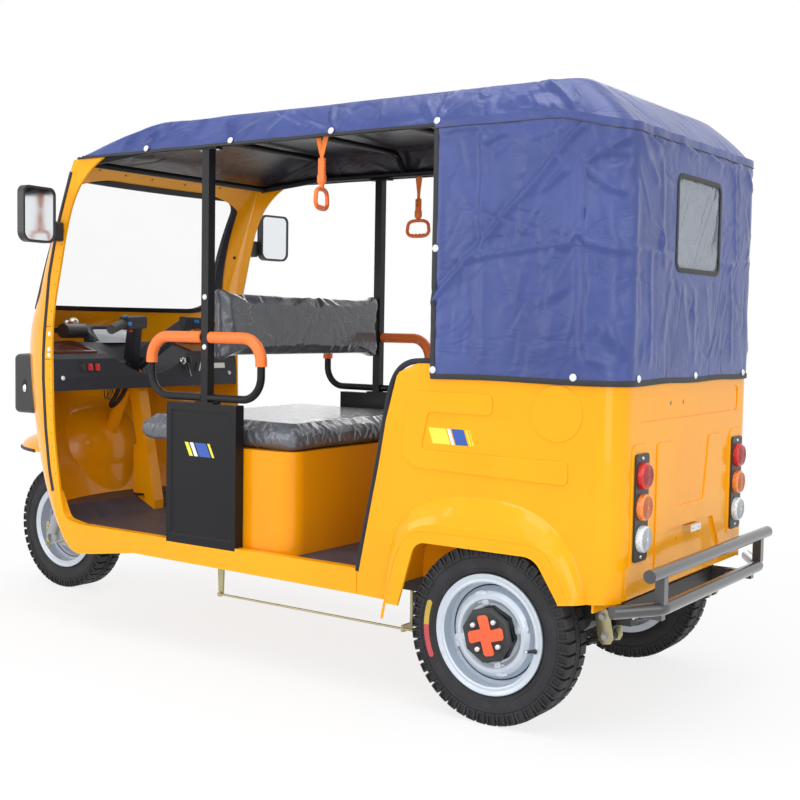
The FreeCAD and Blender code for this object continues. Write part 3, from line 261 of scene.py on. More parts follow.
def clearFinish(name, colour, alpha, roughness, ripple=0.0):
    paint = Paint(name, Specular_IOR_Level=0.8, Coat_Weight=0.6, Coat_Roughness=0.02)
    cloud = paint.noise(6, 4, 0.6)
    paint.set(Base_Color=paint.mix(cloud, rgb(*colour), scaled(colour, 0.85)),
              Alpha=alpha + cloud * alpha * 0.3, Roughness=roughness + cloud * 0.03)
    if ripple:
        paint.set(Normal=paint.bump(paint.ridges(12, 4, 0.6, (1, 1, 0.6), 1.4), ripple))
    return paint.material


def lensFinish(name, colour, pale):
    # A moulded lens: many small facets, between its own colour and a paler one.
    paint = Paint(name, Specular_IOR_Level=0.4, Coat_Weight=0.6, Coat_Roughness=0.04, Subsurface_Weight=0.2)
    facet = paint.cells("F1", 240.0)
    paint.set(Base_Color=paint.mix(facet.above(0.1, 0.7), rgb(*colour), rgb(*pale)),
              Roughness=0.18 + facet * 0.1, Normal=paint.bump(facet, 0.0008))
    return paint.material


finishes = {
    "yellow": yellowPaint("yellowPaint", (1.0, 0.42, 0.003), (0.96, 0.375, 0.002), 0.12),
    # A darker copy of the body yellow: painted shade for the seat base inside the cab.
    "yellowShaded": yellowPaint("yellowShadedPaint", (0.95, 0.35, 0.003), (0.86, 0.3, 0.002), 0.0),
    "blackMetal": plainPaint("blackPowderCoat", (0.01, 0.01, 0.012), 0.42, 0.06, 0.3, 0.00012, shine=0.2),
    "castSilver": plainPaint("castSilver", (0.42, 0.43, 0.45), 0.38, 0.1, 0.15, 0.0002, 500, 0.6),
    # Dark steel of the springs and axle; on the chassis, whose rails are painted yellow, this dark is painted
    # shade under the body.
    "darkSteelAndShade": plainPaint("underbodySteelAndShade", (0.05, 0.048, 0.046), 0.5, 0.0, 0.45, 0.0004, 300, 0.4),
    "zinc": plainPaint("zincPlate", (0.55, 0.54, 0.5), 0.32, 0.0, 0.3, 0.0002, 500, 0.9),
    "chrome": plainPaint("chromePlate", (0.75, 0.76, 0.78), 0.12, 0.0, 0.1, 0.00005, 500, 1.0),
    "bumperMetal": plainPaint("bumperPaint", (0.075, 0.075, 0.08), 0.3, 0.8, 0.25, 0.0001, 900, 0.5),
    "rim": rimFinish("rimPaint", (0.54, 0.595, 0.665)),
    "canvas": canvasFinish("blueCanvas", (0.022, 0.044, 0.2), (0.034, 0.062, 0.25)),
    "canvasInside": canvasFinish("darkCanvas", (0.026, 0.024, 0.036), (0.036, 0.033, 0.045)),
    "binding": plainPaint("blackBinding", (0.016, 0.016, 0.019), 0.5, 0.0, 0.3, 0.0004, 520),
    "snap": plainPaint("whiteSnap", (0.82, 0.83, 0.85), 0.25, 0.6, 0.1, 0.00005, 500),
    "labelYellow": plainPaint("labelYellow", (0.62, 0.42, 0.06), 0.5, 0.0, 0.3, 0.0001, 300),
    "labelRed": plainPaint("labelRed", (0.62, 0.08, 0.09), 0.5, 0.0, 0.3, 0.0001, 300),
    "orangePlastic": plainPaint("orangePlastic", (0.9, 0.12, 0.03), 0.36, 0.2, 0.12, 0.0003, 700),
    "stickerYellow": plainPaint("stickerYellow", (0.86, 0.8, 0.05), 0.3, 0.4, 0.06, 0.00003, 300),
    "stickerBlue": plainPaint("stickerBlue", (0.02, 0.09, 0.42), 0.3, 0.4, 0.1, 0.00003, 300),
    "stickerWhite": plainPaint("stickerWhite", (0.85, 0.86, 0.88), 0.3, 0.4, 0.06, 0.00003, 300),
    "redButton": plainPaint("redButton", (0.7, 0.03, 0.02), 0.35, 0.3, 0.1, 0.0001, 600),
    "blueButton": plainPaint("blueButton", (0.03, 0.25, 0.7), 0.35, 0.3, 0.1, 0.0001, 600),
    "screenFilm": plainPaint("screenFilm", (0.62, 0.66, 0.68), 0.2, 0.5, 0.25, 0.0008, 60),
    "reflector": plainPaint("lampReflector", (0.8, 0.81, 0.83), 0.12, 0.0, 0.1, 0.0006, 120, 1.0),
    "leather": wrappedLeather("wrappedLeather", (0.115, 0.125, 0.145)),
    "tyre": rubberFinish("tyreRubber", (0.022, 0.022, 0.024), 0.62),
    "mat": ribbedRubber("matRubber", (0.04, 0.043, 0.06)),
    "passivate": plainPaint("yellowPassivate", (0.52, 0.47, 0.27), 0.34, 0.0, 0.3, 0.0002, 500, 0.75),
    # Near-black for holes, slots and openings, as painted shade in them, and for the dark seam lines.
    "holeShadeAndSeams": plainPaint("holeShadeAndSeams", (0.008, 0.008, 0.009), 0.7, 0.0, 0.1, 0.00005, 500),
    # Darker copies of the lens colours for the rings in the lens steps: painted shade.
    "redDeep": plainPaint("redDeep", (0.2, 0.005, 0.01), 0.4, 0.5, 0.1, 0.00005, 500),
    "amberDeep": plainPaint("amberDeep", (0.35, 0.05, 0.01), 0.4, 0.5, 0.1, 0.00005, 500),
    "clearDeep": plainPaint("clearDeep", (0.28, 0.29, 0.31), 0.4, 0.5, 0.1, 0.00005, 500),
    "cableBlack": rubberFinish("cableRubber", (0.014, 0.014, 0.015), 0.5),
    "cableGreen": plainPaint("cableGreen", (0.03, 0.12, 0.05), 0.45, 0.1, 0.2, 0.0001, 500),
    "seal": rubberFinish("sealRubberAndGrooveShade", (0.012, 0.014, 0.02), 0.46),
    "grip": rubberFinish("gripRubber", (0.02, 0.02, 0.021), 0.55),
    "greyPlastic": plainPaint("greyPlastic", (0.034, 0.036, 0.046), 0.5, 0.0, 0.15, 0.00025, 900, shine=0.3),
    "blackPlastic": plainPaint("blackPlastic", (0.028, 0.028, 0.03), 0.4, 0.0, 0.2, 0.0002, 900),
    "brownPlastic": plainPaint("brownPlastic", (0.15, 0.045, 0.03), 0.25, 0.4, 0.2, 0.0002, 900),
    "orangeFoam": plainPaint("orangeFoam", (1.0, 0.205, 0.032), 0.5, 0.1, 0.06, 0.0004, 620),
    "orangeWeb": plainPaint("orangeWeb", (1.0, 0.24, 0.03), 0.6, 0.0, 0.1, 0.0004, 620),
    "glass": clearFinish("screenGlass", (0.8, 0.88, 0.88), 0.035, 0.02),
    "film": clearFinish("windowFilm", (0.55, 0.62, 0.72), 0.45, 0.12, 0.004),
    "mirrorFace": plainPaint("mirrorFace", (0.82, 0.85, 0.88), 0.06, 0.0, 0.05, 0.00002, 200, 1.0),
    "redLens": lensFinish("redLens", (0.42, 0.003, 0.004), (0.75, 0.012, 0.012)),
    "amberLens": lensFinish("amberLens", (0.8, 0.14, 0.02), (1.0, 0.3, 0.05)),
    "clearLens": lensFinish("clearLens", (0.6, 0.62, 0.64), (0.9, 0.92, 0.94)),
}
print("finishes made:", len(finishes))


# What each CAD node is finished in

nodeFinish = {
    "tyre_left": "tyre", "tyre_right": "tyre", "tyre_front": "tyre",
    "rim_left": "rim", "rim_right": "rim", "rim_front": "rim",
    "hub_left": "blackMetal", "hub_right": "blackMetal", "hub_front": "zinc",
    "fork": "castSilver", "front_brake_plate": "zinc", "handlebar": "greyPlastic", "grips": "grip",
    "steering_head": "yellow", "front_cowl": "yellow", "wheel_well": "yellow",
    "windscreen_frame": "yellow", "windscreen_seal": "seal", "windscreen_glass": "glass",
    "front_mudguard": "yellow", "headlamp_housings": "blackPlastic", "headlamp_lenses": "clearLens",
    "dashboard": "greyPlastic", "dash_trays": "brownPlastic", "display_pod": "greyPlastic",
    "wiper_motor": "blackPlastic", "floor_pan": "yellow", "floor_mat": "mat", "side_sills": "yellow",
    # The chassis takes the dark steel as painted shade under the body.
    "chassis": "darkSteelAndShade", "leaf_springs": "darkSteelAndShade", "rear_axle": "darkSteelAndShade",
    "brake_linkage": "passivate",
    # The seat base takes the darker yellow: painted shade inside the cab.
    "side_boxes": "blackMetal", "seat_base": "yellowShaded", "battery_block": "blackPlastic",
    "seat_cushion": "leather", "backrest": "leather", "pillars": "blackMetal", "armrest_hoops": "blackMetal",
    "armrest_covers": "orangeFoam", "side_panel_left": "yellow", "side_panel_right": "yellow",
    "rear_panel": "yellow", "wheel_housings": "yellow", "lamp_plates": "blackPlastic",
    "tail_lamps": "redLens",
    "plate_lamp": "chrome", "bumper": "bumperMetal", "canopy_roof": "canvas", "canopy_curtain": "canvas",
    "rear_window": "film", "roof_frame": "blackMetal", "mirrors": "blackPlastic",
    "mirror_glass": "mirrorFace",
    "grab_straps": "orangeWeb", "bench_base": "yellow", "bench_cushion": "leather", "bench_back": "leather",
}
for nodeName, finishName in nodeFinish.items():
    nodes[nodeName].data.materials.clear()
    nodes[nodeName].data.materials.append(finishes[finishName])
print("nodes finished")


# Shared modelling steps

axleBack = 1027.5


def spot(x, y, z):
    # Millimetres from the middle plane, the rear axle and the ground, as a point of the frame.
    return Vector((x, y + axleBack, z)) / 1000


def deselect():
    if bpy.context.object and bpy.context.object.mode != "OBJECT":
        bpy.ops.object.mode_set(mode="OBJECT")
    bpy.ops.object.select_all(action="DESELECT")


def only(piece):
    deselect()
    piece.select_set(True)
    bpy.context.view_layer.objects.active = piece


def editAll():
    bpy.ops.object.mode_set(mode="EDIT")
    bpy.ops.mesh.select_all(action="SELECT")


def faceOutwards():
    bpy.ops.mesh.select_all(action="SELECT")
    bpy.ops.mesh.normals_make_consistent(inside=False)
    bpy.ops.object.mode_set(mode="OBJECT")


def pick(piece, kind, chosen):
    # In edit mode, selects the faces or the edges for which chosen holds.
    bpy.ops.mesh.select_mode(type=kind)
    bpy.ops.mesh.select_all(action="DESELECT")
    form = bmesh.from_edit_mesh(piece.data)
    for part in form.faces if kind == "FACE" else form.edges:
        part.select = chosen(part)
    bmesh.update_edit_mesh(piece.data)


def applied():
    bpy.ops.object.transform_apply(location=True, rotation=True, scale=True)


def addModifier(piece, kind, **settings):
    made = piece.modifiers.new(kind.lower(), kind)
    for key, value in settings.items():
        setattr(made, key, value)
    return made


def readMesh(piece, key):
    values = np.zeros(len(piece.data.vertices) * 3)
    piece.data.vertices.foreach_get(key, values)
    return values.reshape(-1, 3)


def settle(piece, name, finish, body="body", smooth=35, stands=()):
    # Puts the piece's place into its mesh, then names, paints and mounts it.
    only(piece)
    if piece.type != "MESH":
        bpy.ops.object.convert(target="MESH")
        piece = bpy.context.object
    applied()
    if smooth:
        bpy.ops.object.shade_smooth_by_angle(angle=math.radians(smooth))
    piece.name = name
    piece.data.name = name
    piece.data.materials.clear()
    piece.data.materials.append(finishes[finish])
    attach(piece, body)
    if stands:
        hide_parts(*stands)
    return piece


def meshPiece(points, edges, faces):
    mesh = bpy.data.meshes.new("start")
    mesh.from_pydata([tuple(point) for point in points], edges, faces)
    mesh.update()
    piece = bpy.data.objects.new("start", mesh)
    bpy.context.collection.objects.link(piece)
    only(piece)
    return piece


def rounded(piece, width, segments=2, angle=30):
    only(piece)
    bevel = addModifier(piece, "BEVEL", width=width / 1000, segments=segments, limit_method="ANGLE",
                        angle_limit=math.radians(angle))
    bpy.ops.object.modifier_apply(modifier=bevel.name)
    return piece


def brick(size, place, bevel=0.0, turn=(0, 0, 0), segments=2):
    deselect()
    bpy.ops.mesh.primitive_cube_add(size=1, location=place, rotation=turn)
    piece = bpy.context.object
    piece.scale = [length / 1000 for length in size]
    bpy.ops.object.transform_apply(location=False, rotation=False, scale=True)
    return rounded(piece, bevel, segments) if bevel else piece


def turned(profile, centre, axis, steps=48):
    # A line of (along, radius) points in millimetres, spun round an axis.
    axis = Vector(axis).normalized()
    side = axis.orthogonal().normalized()
    points = [Vector(centre) + axis * (along / 1000) + side * (radius / 1000) for along, radius in profile]
    piece = meshPiece(points, [(index, index + 1) for index in range(len(points) - 1)], [])
    editAll()
    bpy.ops.mesh.spin(steps=steps, angle=math.tau, center=centre, axis=axis)
    bpy.ops.mesh.select_all(action="SELECT")
    bpy.ops.mesh.remove_doubles(threshold=0.00001)
    faceOutwards()
    return piece


def plate(points, depth, bevel=0.0, segments=2):
    # A flat outline pushed out along depth, a vector in millimetres.
    piece = meshPiece(points, [], [tuple(range(len(points)))])
    editAll()
    bpy.ops.mesh.extrude_region_move(TRANSFORM_OT_translate={"value": Vector(depth) / 1000})
    faceOutwards()
    return rounded(piece, bevel, segments) if bevel else piece


def tube(points, radius, closed=False, smooth=True, resolution=10):
    # A round bar along a line of points.
    curve = bpy.data.curves.new("tube", "CURVE")
    curve.dimensions = "3D"
    curve.bevel_depth = radius / 1000
    curve.bevel_resolution = 3
    curve.resolution_u = resolution
    curve.use_fill_caps = True
    line = curve.splines.new("NURBS" if smooth else "POLY")
    line.points.add(len(points) - 1)
    for point, place in zip(line.points, points):
        point.co = (*place, 1.0)
    line.use_cyclic_u = closed
    if smooth:
        line.order_u = 3
        line.use_endpoint_u = not closed
    piece = bpy.data.objects.new("tube", curve)
    bpy.context.collection.objects.link(piece)
    only(piece)
    bpy.ops.object.convert(target="MESH")
    return bpy.context.object


def strip(path, out, width, thick, closed=False, crown=0.35):
    # A soft-edged band along a path: out points away from what it lies on.
    path = np.array([tuple(point) for point in path])
    out = np.array([tuple(Vector(normal).normalized()) for normal in out])
    ahead = np.gradient(path, axis=0)
    if closed:
        ahead = np.roll(path, -1, axis=0) - np.roll(path, 1, axis=0)
    across = np.cross(ahead, out)
    across /= np.linalg.norm(across, axis=1)[:, None]
    half = np.broadcast_to(np.array(width, float) / 2000, (len(path),))
    thick = thick / 1000
    shoulder = thick * (1 - crown)
    section = [(-1, 0), (-1, shoulder), (-0.7, thick), (0.7, thick), (1, shoulder), (1, 0)]
    points = []
    for place, side, up, wide in zip(path, across, out, half):
        points += [place + side * (along * wide) + up * high for along, high in section]
    count = len(section)
    faces = []
    runs = len(path) if closed else len(path) - 1
    for run in range(runs):
        here = run * count
        there = ((run + 1) % len(path)) * count
        for step in range(count):
            nextStep = (step + 1) % count
            faces.append((here + step, here + nextStep, there + nextStep, there + step))
    if not closed:
        faces.append(tuple(range(count)))
        faces.append(tuple(reversed(range((len(path) - 1) * count, len(path) * count))))
    piece = meshPiece(points, [], faces)
    editAll()
    faceOutwards()
    return piece


def touch(name, start, ahead):
    # Where a line from start first meets a node, and the way the surface faces there.
    node = nodes[name]
    back = node.matrix_world.inverted()
    met, place, normal = node.ray_cast(back @ Vector(start), (back.to_3x3() @ Vector(ahead)).normalized())[:3]
    if not met:
        return None, None
    return node.matrix_world @ place, (node.matrix_world.to_3x3() @ normal).normalized()


def copied(piece, moves):
    # The same mesh set at each of these places, as one piece.
    whole = bmesh.new()
    for move in moves:
        single = piece.data.copy()
        single.transform(move)
        if move.is_negative:
            single.flip_normals()
        whole.from_mesh(single)
        bpy.data.meshes.remove(single)
    whole.to_mesh(piece.data)
    whole.free()
    return piece


def together(pieces):
    if len(pieces) == 1:
        return pieces[0]
    deselect()
    for piece in pieces:
        piece.select_set(True)
    bpy.context.view_layer.objects.active = pieces[0]
    bpy.ops.object.join()
    return bpy.context.object


def mirroredToo(piece):
    # Adds the same shape on the vehicle's other side.
    return copied(piece, [Matrix.Identity(4), Matrix.Scale(-1, 4, Vector((1, 0, 0)))])


def bolt(place, normal, radius=7.0, height=5.0, washer=1.6):
    # A hexagon head on a washer.
    normal = Vector(normal).normalized()
    profile = [(0, 0), (0, radius * washer), (1.2, radius * washer), (1.6, radius * 1.45), (1.6, 0)]
    ring = turned(profile, place, normal, 20)
    deselect()
    bpy.ops.mesh.primitive_cylinder_add(vertices=6, radius=radius / 1000, depth=height / 1000)
    head = rounded(bpy.context.object, 0.5, 1)
    head.rotation_euler = normal.to_track_quat("Z", "Y").to_euler()
    head.location = Vector(place) + normal * ((1.6 + height / 2) / 1000)
    applied()
    return together([ring, head])


def dome(place, normal, radius, height, steps=20):
    arc = [(height * math.cos(turn), radius * math.sin(turn)) for turn in np.linspace(0, math.pi / 2, 6)]
    return turned(arc + [(0, 0)], place, normal, steps)


def hole(place, normal, radius, top, height, steps):
    # A dark disc of painted shade that stands for a drilled hole.
    return turned([(-0.5, 0), (-0.5, radius), (height, top), (height, 0)], place, normal, steps)


def domes(name, places, radius, height, finish):
    settle(together([dome(place, normal, radius, height) for place, normal in places]), name, finish)


def circle(along, radius, thick, high, count):
    # The round section of a ring, as a profile for turned.
    return [(along + thick * math.sin(turn), radius + high * math.cos(turn))
            for turn in np.linspace(0, math.tau, count)]


def around(centre, count, start):
    # Turns about the wheel's axis through centre, evenly spaced.
    moves = []
    for step in range(count):
        turn = Matrix.Rotation(start + math.tau * step / count, 4, Vector((1, 0, 0)))
        moves.append(Matrix.Translation(centre) @ turn @ Matrix.Translation(-Vector(centre)))
    return moves


# Wheels: tread, sidewall, painted shade in the rim groove, valve, hub cover

tyreShape = {
    "floor": 242.5, "lugs": 46, "lug": (38, 26.0, 34), "lugPlace": (0.0335, 0.233), "notch": 5.5,
    "notchDeep": 5.0, "chamfer": 5.0, "stagger": 0.068, "bead": (35, 154), "steps": 96,
    "shoulder": [(42, 240.5), (47, 236), (49.4, 228), (50.3, 219), (50.5, 214.6), (51.8, 213.4),
                 (51.8, 211.6), (50.5, 210.4), (50.4, 203), (50.0, 196), (48.9, 188), (46.8, 180),
                 (43.6, 173), (39.5, 168), (36, 162)],
    "rib": [(-9, 240), (-9, 249.4), (-2, 250), (-1, 244), (1, 244), (2, 250), (9, 249.4), (9, 240)],
    "rings": {182.5: 48.0, 226.5: 50.0},
}
wheelPlaces = {
    "left": {"centre": spot(444.5, 0, 250), "body": "rear_wheel_left", "out": 1, "turn": 0.0},
    "right": {"centre": spot(-444.5, 0, 250), "body": "rear_wheel_right", "out": -1, "turn": 0.4},
    "front": {"centre": spot(0, -2275, 250), "body": "front_wheel", "out": 1, "turn": 0.9},
}


def makeLug(centre, side):
    # One shoulder block: a cube at size, its side face inset and pressed in, its top corner taken off.
    out, high = tyreShape["lugPlace"]
    lug = brick(tyreShape["lug"], centre + Vector((side * out, 0, high)))
    only(lug)
    applied()
    bpy.ops.object.mode_set(mode="EDIT")
    pick(lug, "FACE", lambda face: face.normal.x * side > 0.9)
    bpy.ops.mesh.inset(thickness=tyreShape["notch"] / 1000)
    inwards = (-side * tyreShape["notchDeep"] / 1000, 0, 0)
    bpy.ops.mesh.extrude_region_move(TRANSFORM_OT_translate={"value": inwards})
    top = centre.z + high + tyreShape["lug"][2] / 2000 - 0.0005
    outer = out + tyreShape["lug"][0] / 2000 - 0.0005

    def isCorner(edge):
        return all(vert.co.z > top and (vert.co.x - centre.x) * side > outer for vert in edge.verts)

    pick(lug, "EDGE", isCorner)
    bpy.ops.mesh.bevel(offset=tyreShape["chamfer"] / 1000, segments=2)
    bpy.ops.object.mode_set(mode="OBJECT")
    return lug


def makeTyre(key):
    place = wheelPlaces[key]
    centre = place["centre"]
    floor, bead, steps = tyreShape["floor"], tyreShape["bead"], tyreShape["steps"]
    half = [(0, floor), (28, floor)] + tyreShape["shoulder"] + [bead]
    profile = [(-along, radius) for along, radius in reversed(half)] + half[1:] + [(-bead[0], bead[1])]
    pieces = [turned(outline, centre, (1, 0, 0), steps) for outline in (profile, tyreShape["rib"])]
    for side in (-1, 1):
        lug = makeLug(centre, side)
        turn = place["turn"] + (side > 0) * tyreShape["stagger"]
        pieces.append(copied(lug, around(centre, tyreShape["lugs"], turn)))
    for radius, out in tyreShape["rings"].items():
        ring = circle(out, radius, 0.7, 0.9, 7)
        pieces.append(turned(ring, centre, (1, 0, 0), steps))
        pieces.append(turned([(-along, high) for along, high in ring], centre, (1, 0, 0), steps))
    settle(together(pieces), "tyreTread." + key, "tyre", place["body"], 28, ("tyre_" + key,))


tyreLabel = {
    "out": 50.3, "radius": 200, "wide": 16.5, "thick": 0.9, "steps": 22, "roundedEnd": 0.09,
    "parts": {"upper": (0, 20.5, "labelYellow"), "lower": (-27, 0, "labelRed")},
}


def makeTyreLabel(key):
    # A plain two-colour pill on the sidewall.
    place = wheelPlaces[key]
    side, steps, radius = place["out"], tyreLabel["steps"], tyreLabel["radius"]
    for name, (low, high, finish) in tyreLabel["parts"].items():
        turns = np.linspace(math.radians(low), math.radians(high), steps)
        ring = [(side * tyreLabel["out"], -radius * math.cos(turn), radius * math.sin(turn))
                for turn in turns]
        path = [place["centre"] + Vector(point) / 1000 for point in ring]
        ends = np.linspace(0, 1, steps) if name == "lower" else np.linspace(1, 0, steps)
        toEnd = 1 - np.clip(ends / tyreLabel["roundedEnd"], 0, 1)
        width = tyreLabel["wide"] * np.sqrt(np.clip(1 - toEnd ** 2, 0.02, 1))
        label = strip(path, [(side, 0, 0)] * steps, width, tyreLabel["thick"])
        settle(label, "tyreLabel." + name + "." + key, finish, place["body"])


rimDetail = {
    "groove": {"radius": 131.5, "half": 1.9, "out": 1.0},
    "valve": {"place": (146.0, -22.0), "lean": (0.75, -0.66),
              "stem": [(0, 0), (0, 7.5), (4, 7.0), (7, 4.6), (25, 4.2), (26, 0)],
              "cap": [(0, 0), (0, 3.9), (7, 3.9), (8, 3), (8, 0)], "capOut": 25.5},
    "lip": [(-0.5, 144), (0.5, 145.5), (1.9, 148.5), (0.7, 151.5), (0.5, 154), (1.7, 157), (3.0, 160.5),
            (4.4, 163.5), (4.6, 166), (3.4, 167.6), (1.5, 168), (-0.5, 168)],
    "lipSeat": 158.0, "rib": (13, 44, 21), "ribSeat": 112.0, "ribMiddle": 97.0, "ribSunk": 4.0,
}
hubCover = {
    "across": 148.0, "edge": 1.0, "thick": 7.0, "step": 4.0, "inset": 5.0, "narrowed": 0.93, "round": 1.6,
    "turn": 14.0, "arm": 54.0, "armRoot": 13.0, "armEnd": 17.0, "armThick": 4.0, "nutRadius": 47.0,
    "well": [(0, 9.5), (0, 15), (2.4, 14), (2.8, 12), (0.6, 10.2), (0.2, 0)],
    "nut": [(0.4, 9.0), (3.4, 9.0), (4.4, 8.2), (8.5, 7.4), (11.5, 4.8), (12.5, 0)],
}


def rimSeat(key, y, z):
    # The rim's outer face, met from outside at y and z millimetres from the wheel's centre.
    place = wheelPlaces[key]
    start = place["centre"] + Vector((place["out"] * 0.3, y / 1000, z / 1000))
    return touch("rim_" + key, start, (-place["out"], 0, 0))[0]


def quarters(first):
    # Directions square to the wheel's axis, a quarter turn apart.
    for quarter in range(4):
        turn = math.radians(first + 90 * quarter)
        yield turn, Vector((0, math.cos(turn), math.sin(turn)))


def makeRimDetail(key):
    place = wheelPlaces[key]
    centre, side = place["centre"], place["out"]
    # A dark rubber ring laid in the rim's groove: painted shade.
    groove = rimDetail["groove"]
    face = Vector((rimSeat(key, 0, groove["radius"]).x + side * groove["out"] / 1000, centre.y, centre.z))
    ring = circle(0, groove["radius"], groove["half"], groove["half"], 9)
    settle(turned(ring, face, (1, 0, 0), 96), "rimGroove." + key, "seal", place["body"])
    valve = rimDetail["valve"]
    lean = Vector((side * valve["lean"][0], valve["lean"][1], 0)).normalized()
    root = rimSeat(key, *valve["place"]) - lean * 0.002
    settle(turned(valve["stem"], root, lean, 20), "valveStem." + key, "seal", place["body"])
    cap = turned(valve["cap"], root + lean * (valve["capOut"] / 1000), lean, 16)
    settle(cap, "valveCap." + key, "chrome", place["body"])


def makeRimLip(key):
    # The rolled edge of the rim with its two pressed grooves, and the ribs between hub and disc.
    place = wheelPlaces[key]
    centre, side = place["centre"], place["out"]
    face = Vector((rimSeat(key, 0, rimDetail["lipSeat"]).x, centre.y, centre.z))
    lip = turned([(side * along, radius) for along, radius in rimDetail["lip"]], face, (1, 0, 0), 96)
    settle(lip, "rimLip." + key, "rim", place["body"])
    ribs = []
    for turn, toward in quarters(hubCover["turn"]):
        far = toward * rimDetail["ribSeat"]
        seat = rimSeat(key, far.y, far.z)
        if seat:
            middle = Vector((seat.x - side * rimDetail["ribSunk"] / 1000, centre.y, centre.z))
            middle += toward * rimDetail["ribMiddle"] / 1000
            ribs.append(brick(rimDetail["rib"], middle, 4.5, (turn, 0, 0), 3))
    settle(together(ribs), "rimRibs." + key, "rim", place["body"])


def makeHubCover(key):
    # An eight-sided cap with a raised face, the cross on it and a nut in its well between the arms.
    form = hubCover
    side, body, centre = wheelPlaces[key]["out"], wheelPlaces[key]["body"], wheelPlaces[key]["centre"]
    low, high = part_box("hub_" + key)
    face = high[0] if side > 0 else low[0]
    seat = Vector((face - side * 0.0005, centre.y, centre.z))
    deselect()
    radius = form["across"] / 2 / math.cos(math.pi / 8) - form["edge"]
    middle = seat + Vector((side * form["thick"] / 2000, 0, 0))
    bpy.ops.mesh.primitive_cylinder_add(vertices=8, radius=radius / 1000, depth=form["thick"] / 1000,
                                        location=middle, rotation=(0, math.radians(90), 0))
    cap = bpy.context.object
    applied()
    turn = Matrix.Rotation(math.radians(22.5 + form["turn"]), 4, "X")
    cap.data.transform(Matrix.Translation(seat) @ turn @ Matrix.Translation(-seat))
    bpy.ops.object.mode_set(mode="EDIT")
    pick(cap, "FACE", lambda flat: flat.normal.x * side > 0.9)
    bpy.ops.mesh.inset(thickness=form["inset"] / 1000)
    bpy.ops.mesh.extrude_region_move(TRANSFORM_OT_translate={"value": (side * form["step"] / 1000, 0, 0)})
    bpy.ops.transform.resize(value=(1, form["narrowed"], form["narrowed"]), center_override=seat)
    bpy.ops.object.mode_set(mode="OBJECT")
    rounded(cap, form["round"], 2, 20)
    settle(cap, "hubCap." + key, "blackPlastic", body, 30)
    top = seat + Vector((side * (form["thick"] + form["step"]) / 1000, 0, 0))
    root, end, reach = form["armRoot"], form["armEnd"], form["arm"]
    arm = [(reach - 4, -end), (reach + 2, -end + 6), (reach + 2, end - 6), (reach - 4, end), (root + 6, root)]
    corners = []
    for turn, toward in quarters(form["turn"]):
        beside = Vector((0, -toward.z, toward.y))
        corners += [top + (toward * along + beside * across) / 1000 for along, across in arm]
    cross = plate(corners, (side * form["armThick"], 0, 0), 1.4, 3)
    settle(cross, "hubCross." + key, "orangePlastic", body, 30)
    nuts, wells = [], []
    for turn, toward in quarters(form["turn"] + 45):
        place = top + toward * (form["nutRadius"] / 1000)
        wells.append(turned(form["well"], place, (side, 0, 0), 28))
        nuts.append(turned(form["nut"], place, (side, 0, 0), 24))
    settle(together(wells), "hubWells." + key, "blackPlastic", body, 40)
    settle(together(nuts), "hubNuts." + key, "chrome", body, 40)


for wheelKey in wheelPlaces:
    makeTyre(wheelKey)
    makeRimDetail(wheelKey)
    makeRimLip(wheelKey)
    if wheelKey != "front":
        makeTyreLabel(wheelKey)
        makeHubCover(wheelKey)
print("wheels dressed")


# Canopy: a roof sheet and a curtain sheet round the rear, with the creases that they were folded with

canopyShape = {
    "half": 489.5, "front": -1722.0, "back": 374.5, "corner": 74.0,
    "ridgeHalf": 438.0, "ridgeFront": -1366.0, "ridgeBack": 222.0, "ridgeCorner": 60.0,
    "eave": 1642.0, "rearEave": 1603.0, "ridge": 1747.0, "hem": 951.0, "curtainFront": -205.0,
    "bows": (-1690.0, -1337.0, -965.0, -568.0, -185.0, 202.0), "sag": 9.0, "bulge": 7.0, "crown": 9.0,
    "slope": (0.0, 0.03, 0.08, 0.15, 0.24, 0.33, 0.42, 0.51, 0.6, 0.69, 0.77, 0.84, 0.90, 0.95, 0.985, 1.0),
    "step": 6.4, "cornerSteps": 9, "roofSteps": 14, "thick": 1.6, "deep": 2.1, "crumples": 90,
    "window": {"half": 160.0, "low": 1255.0, "high": 1512.0, "corner": 25.0},
    "roofFlat": (1.12, 2.2), "curtainFlat": (2.1, 0.69),
}
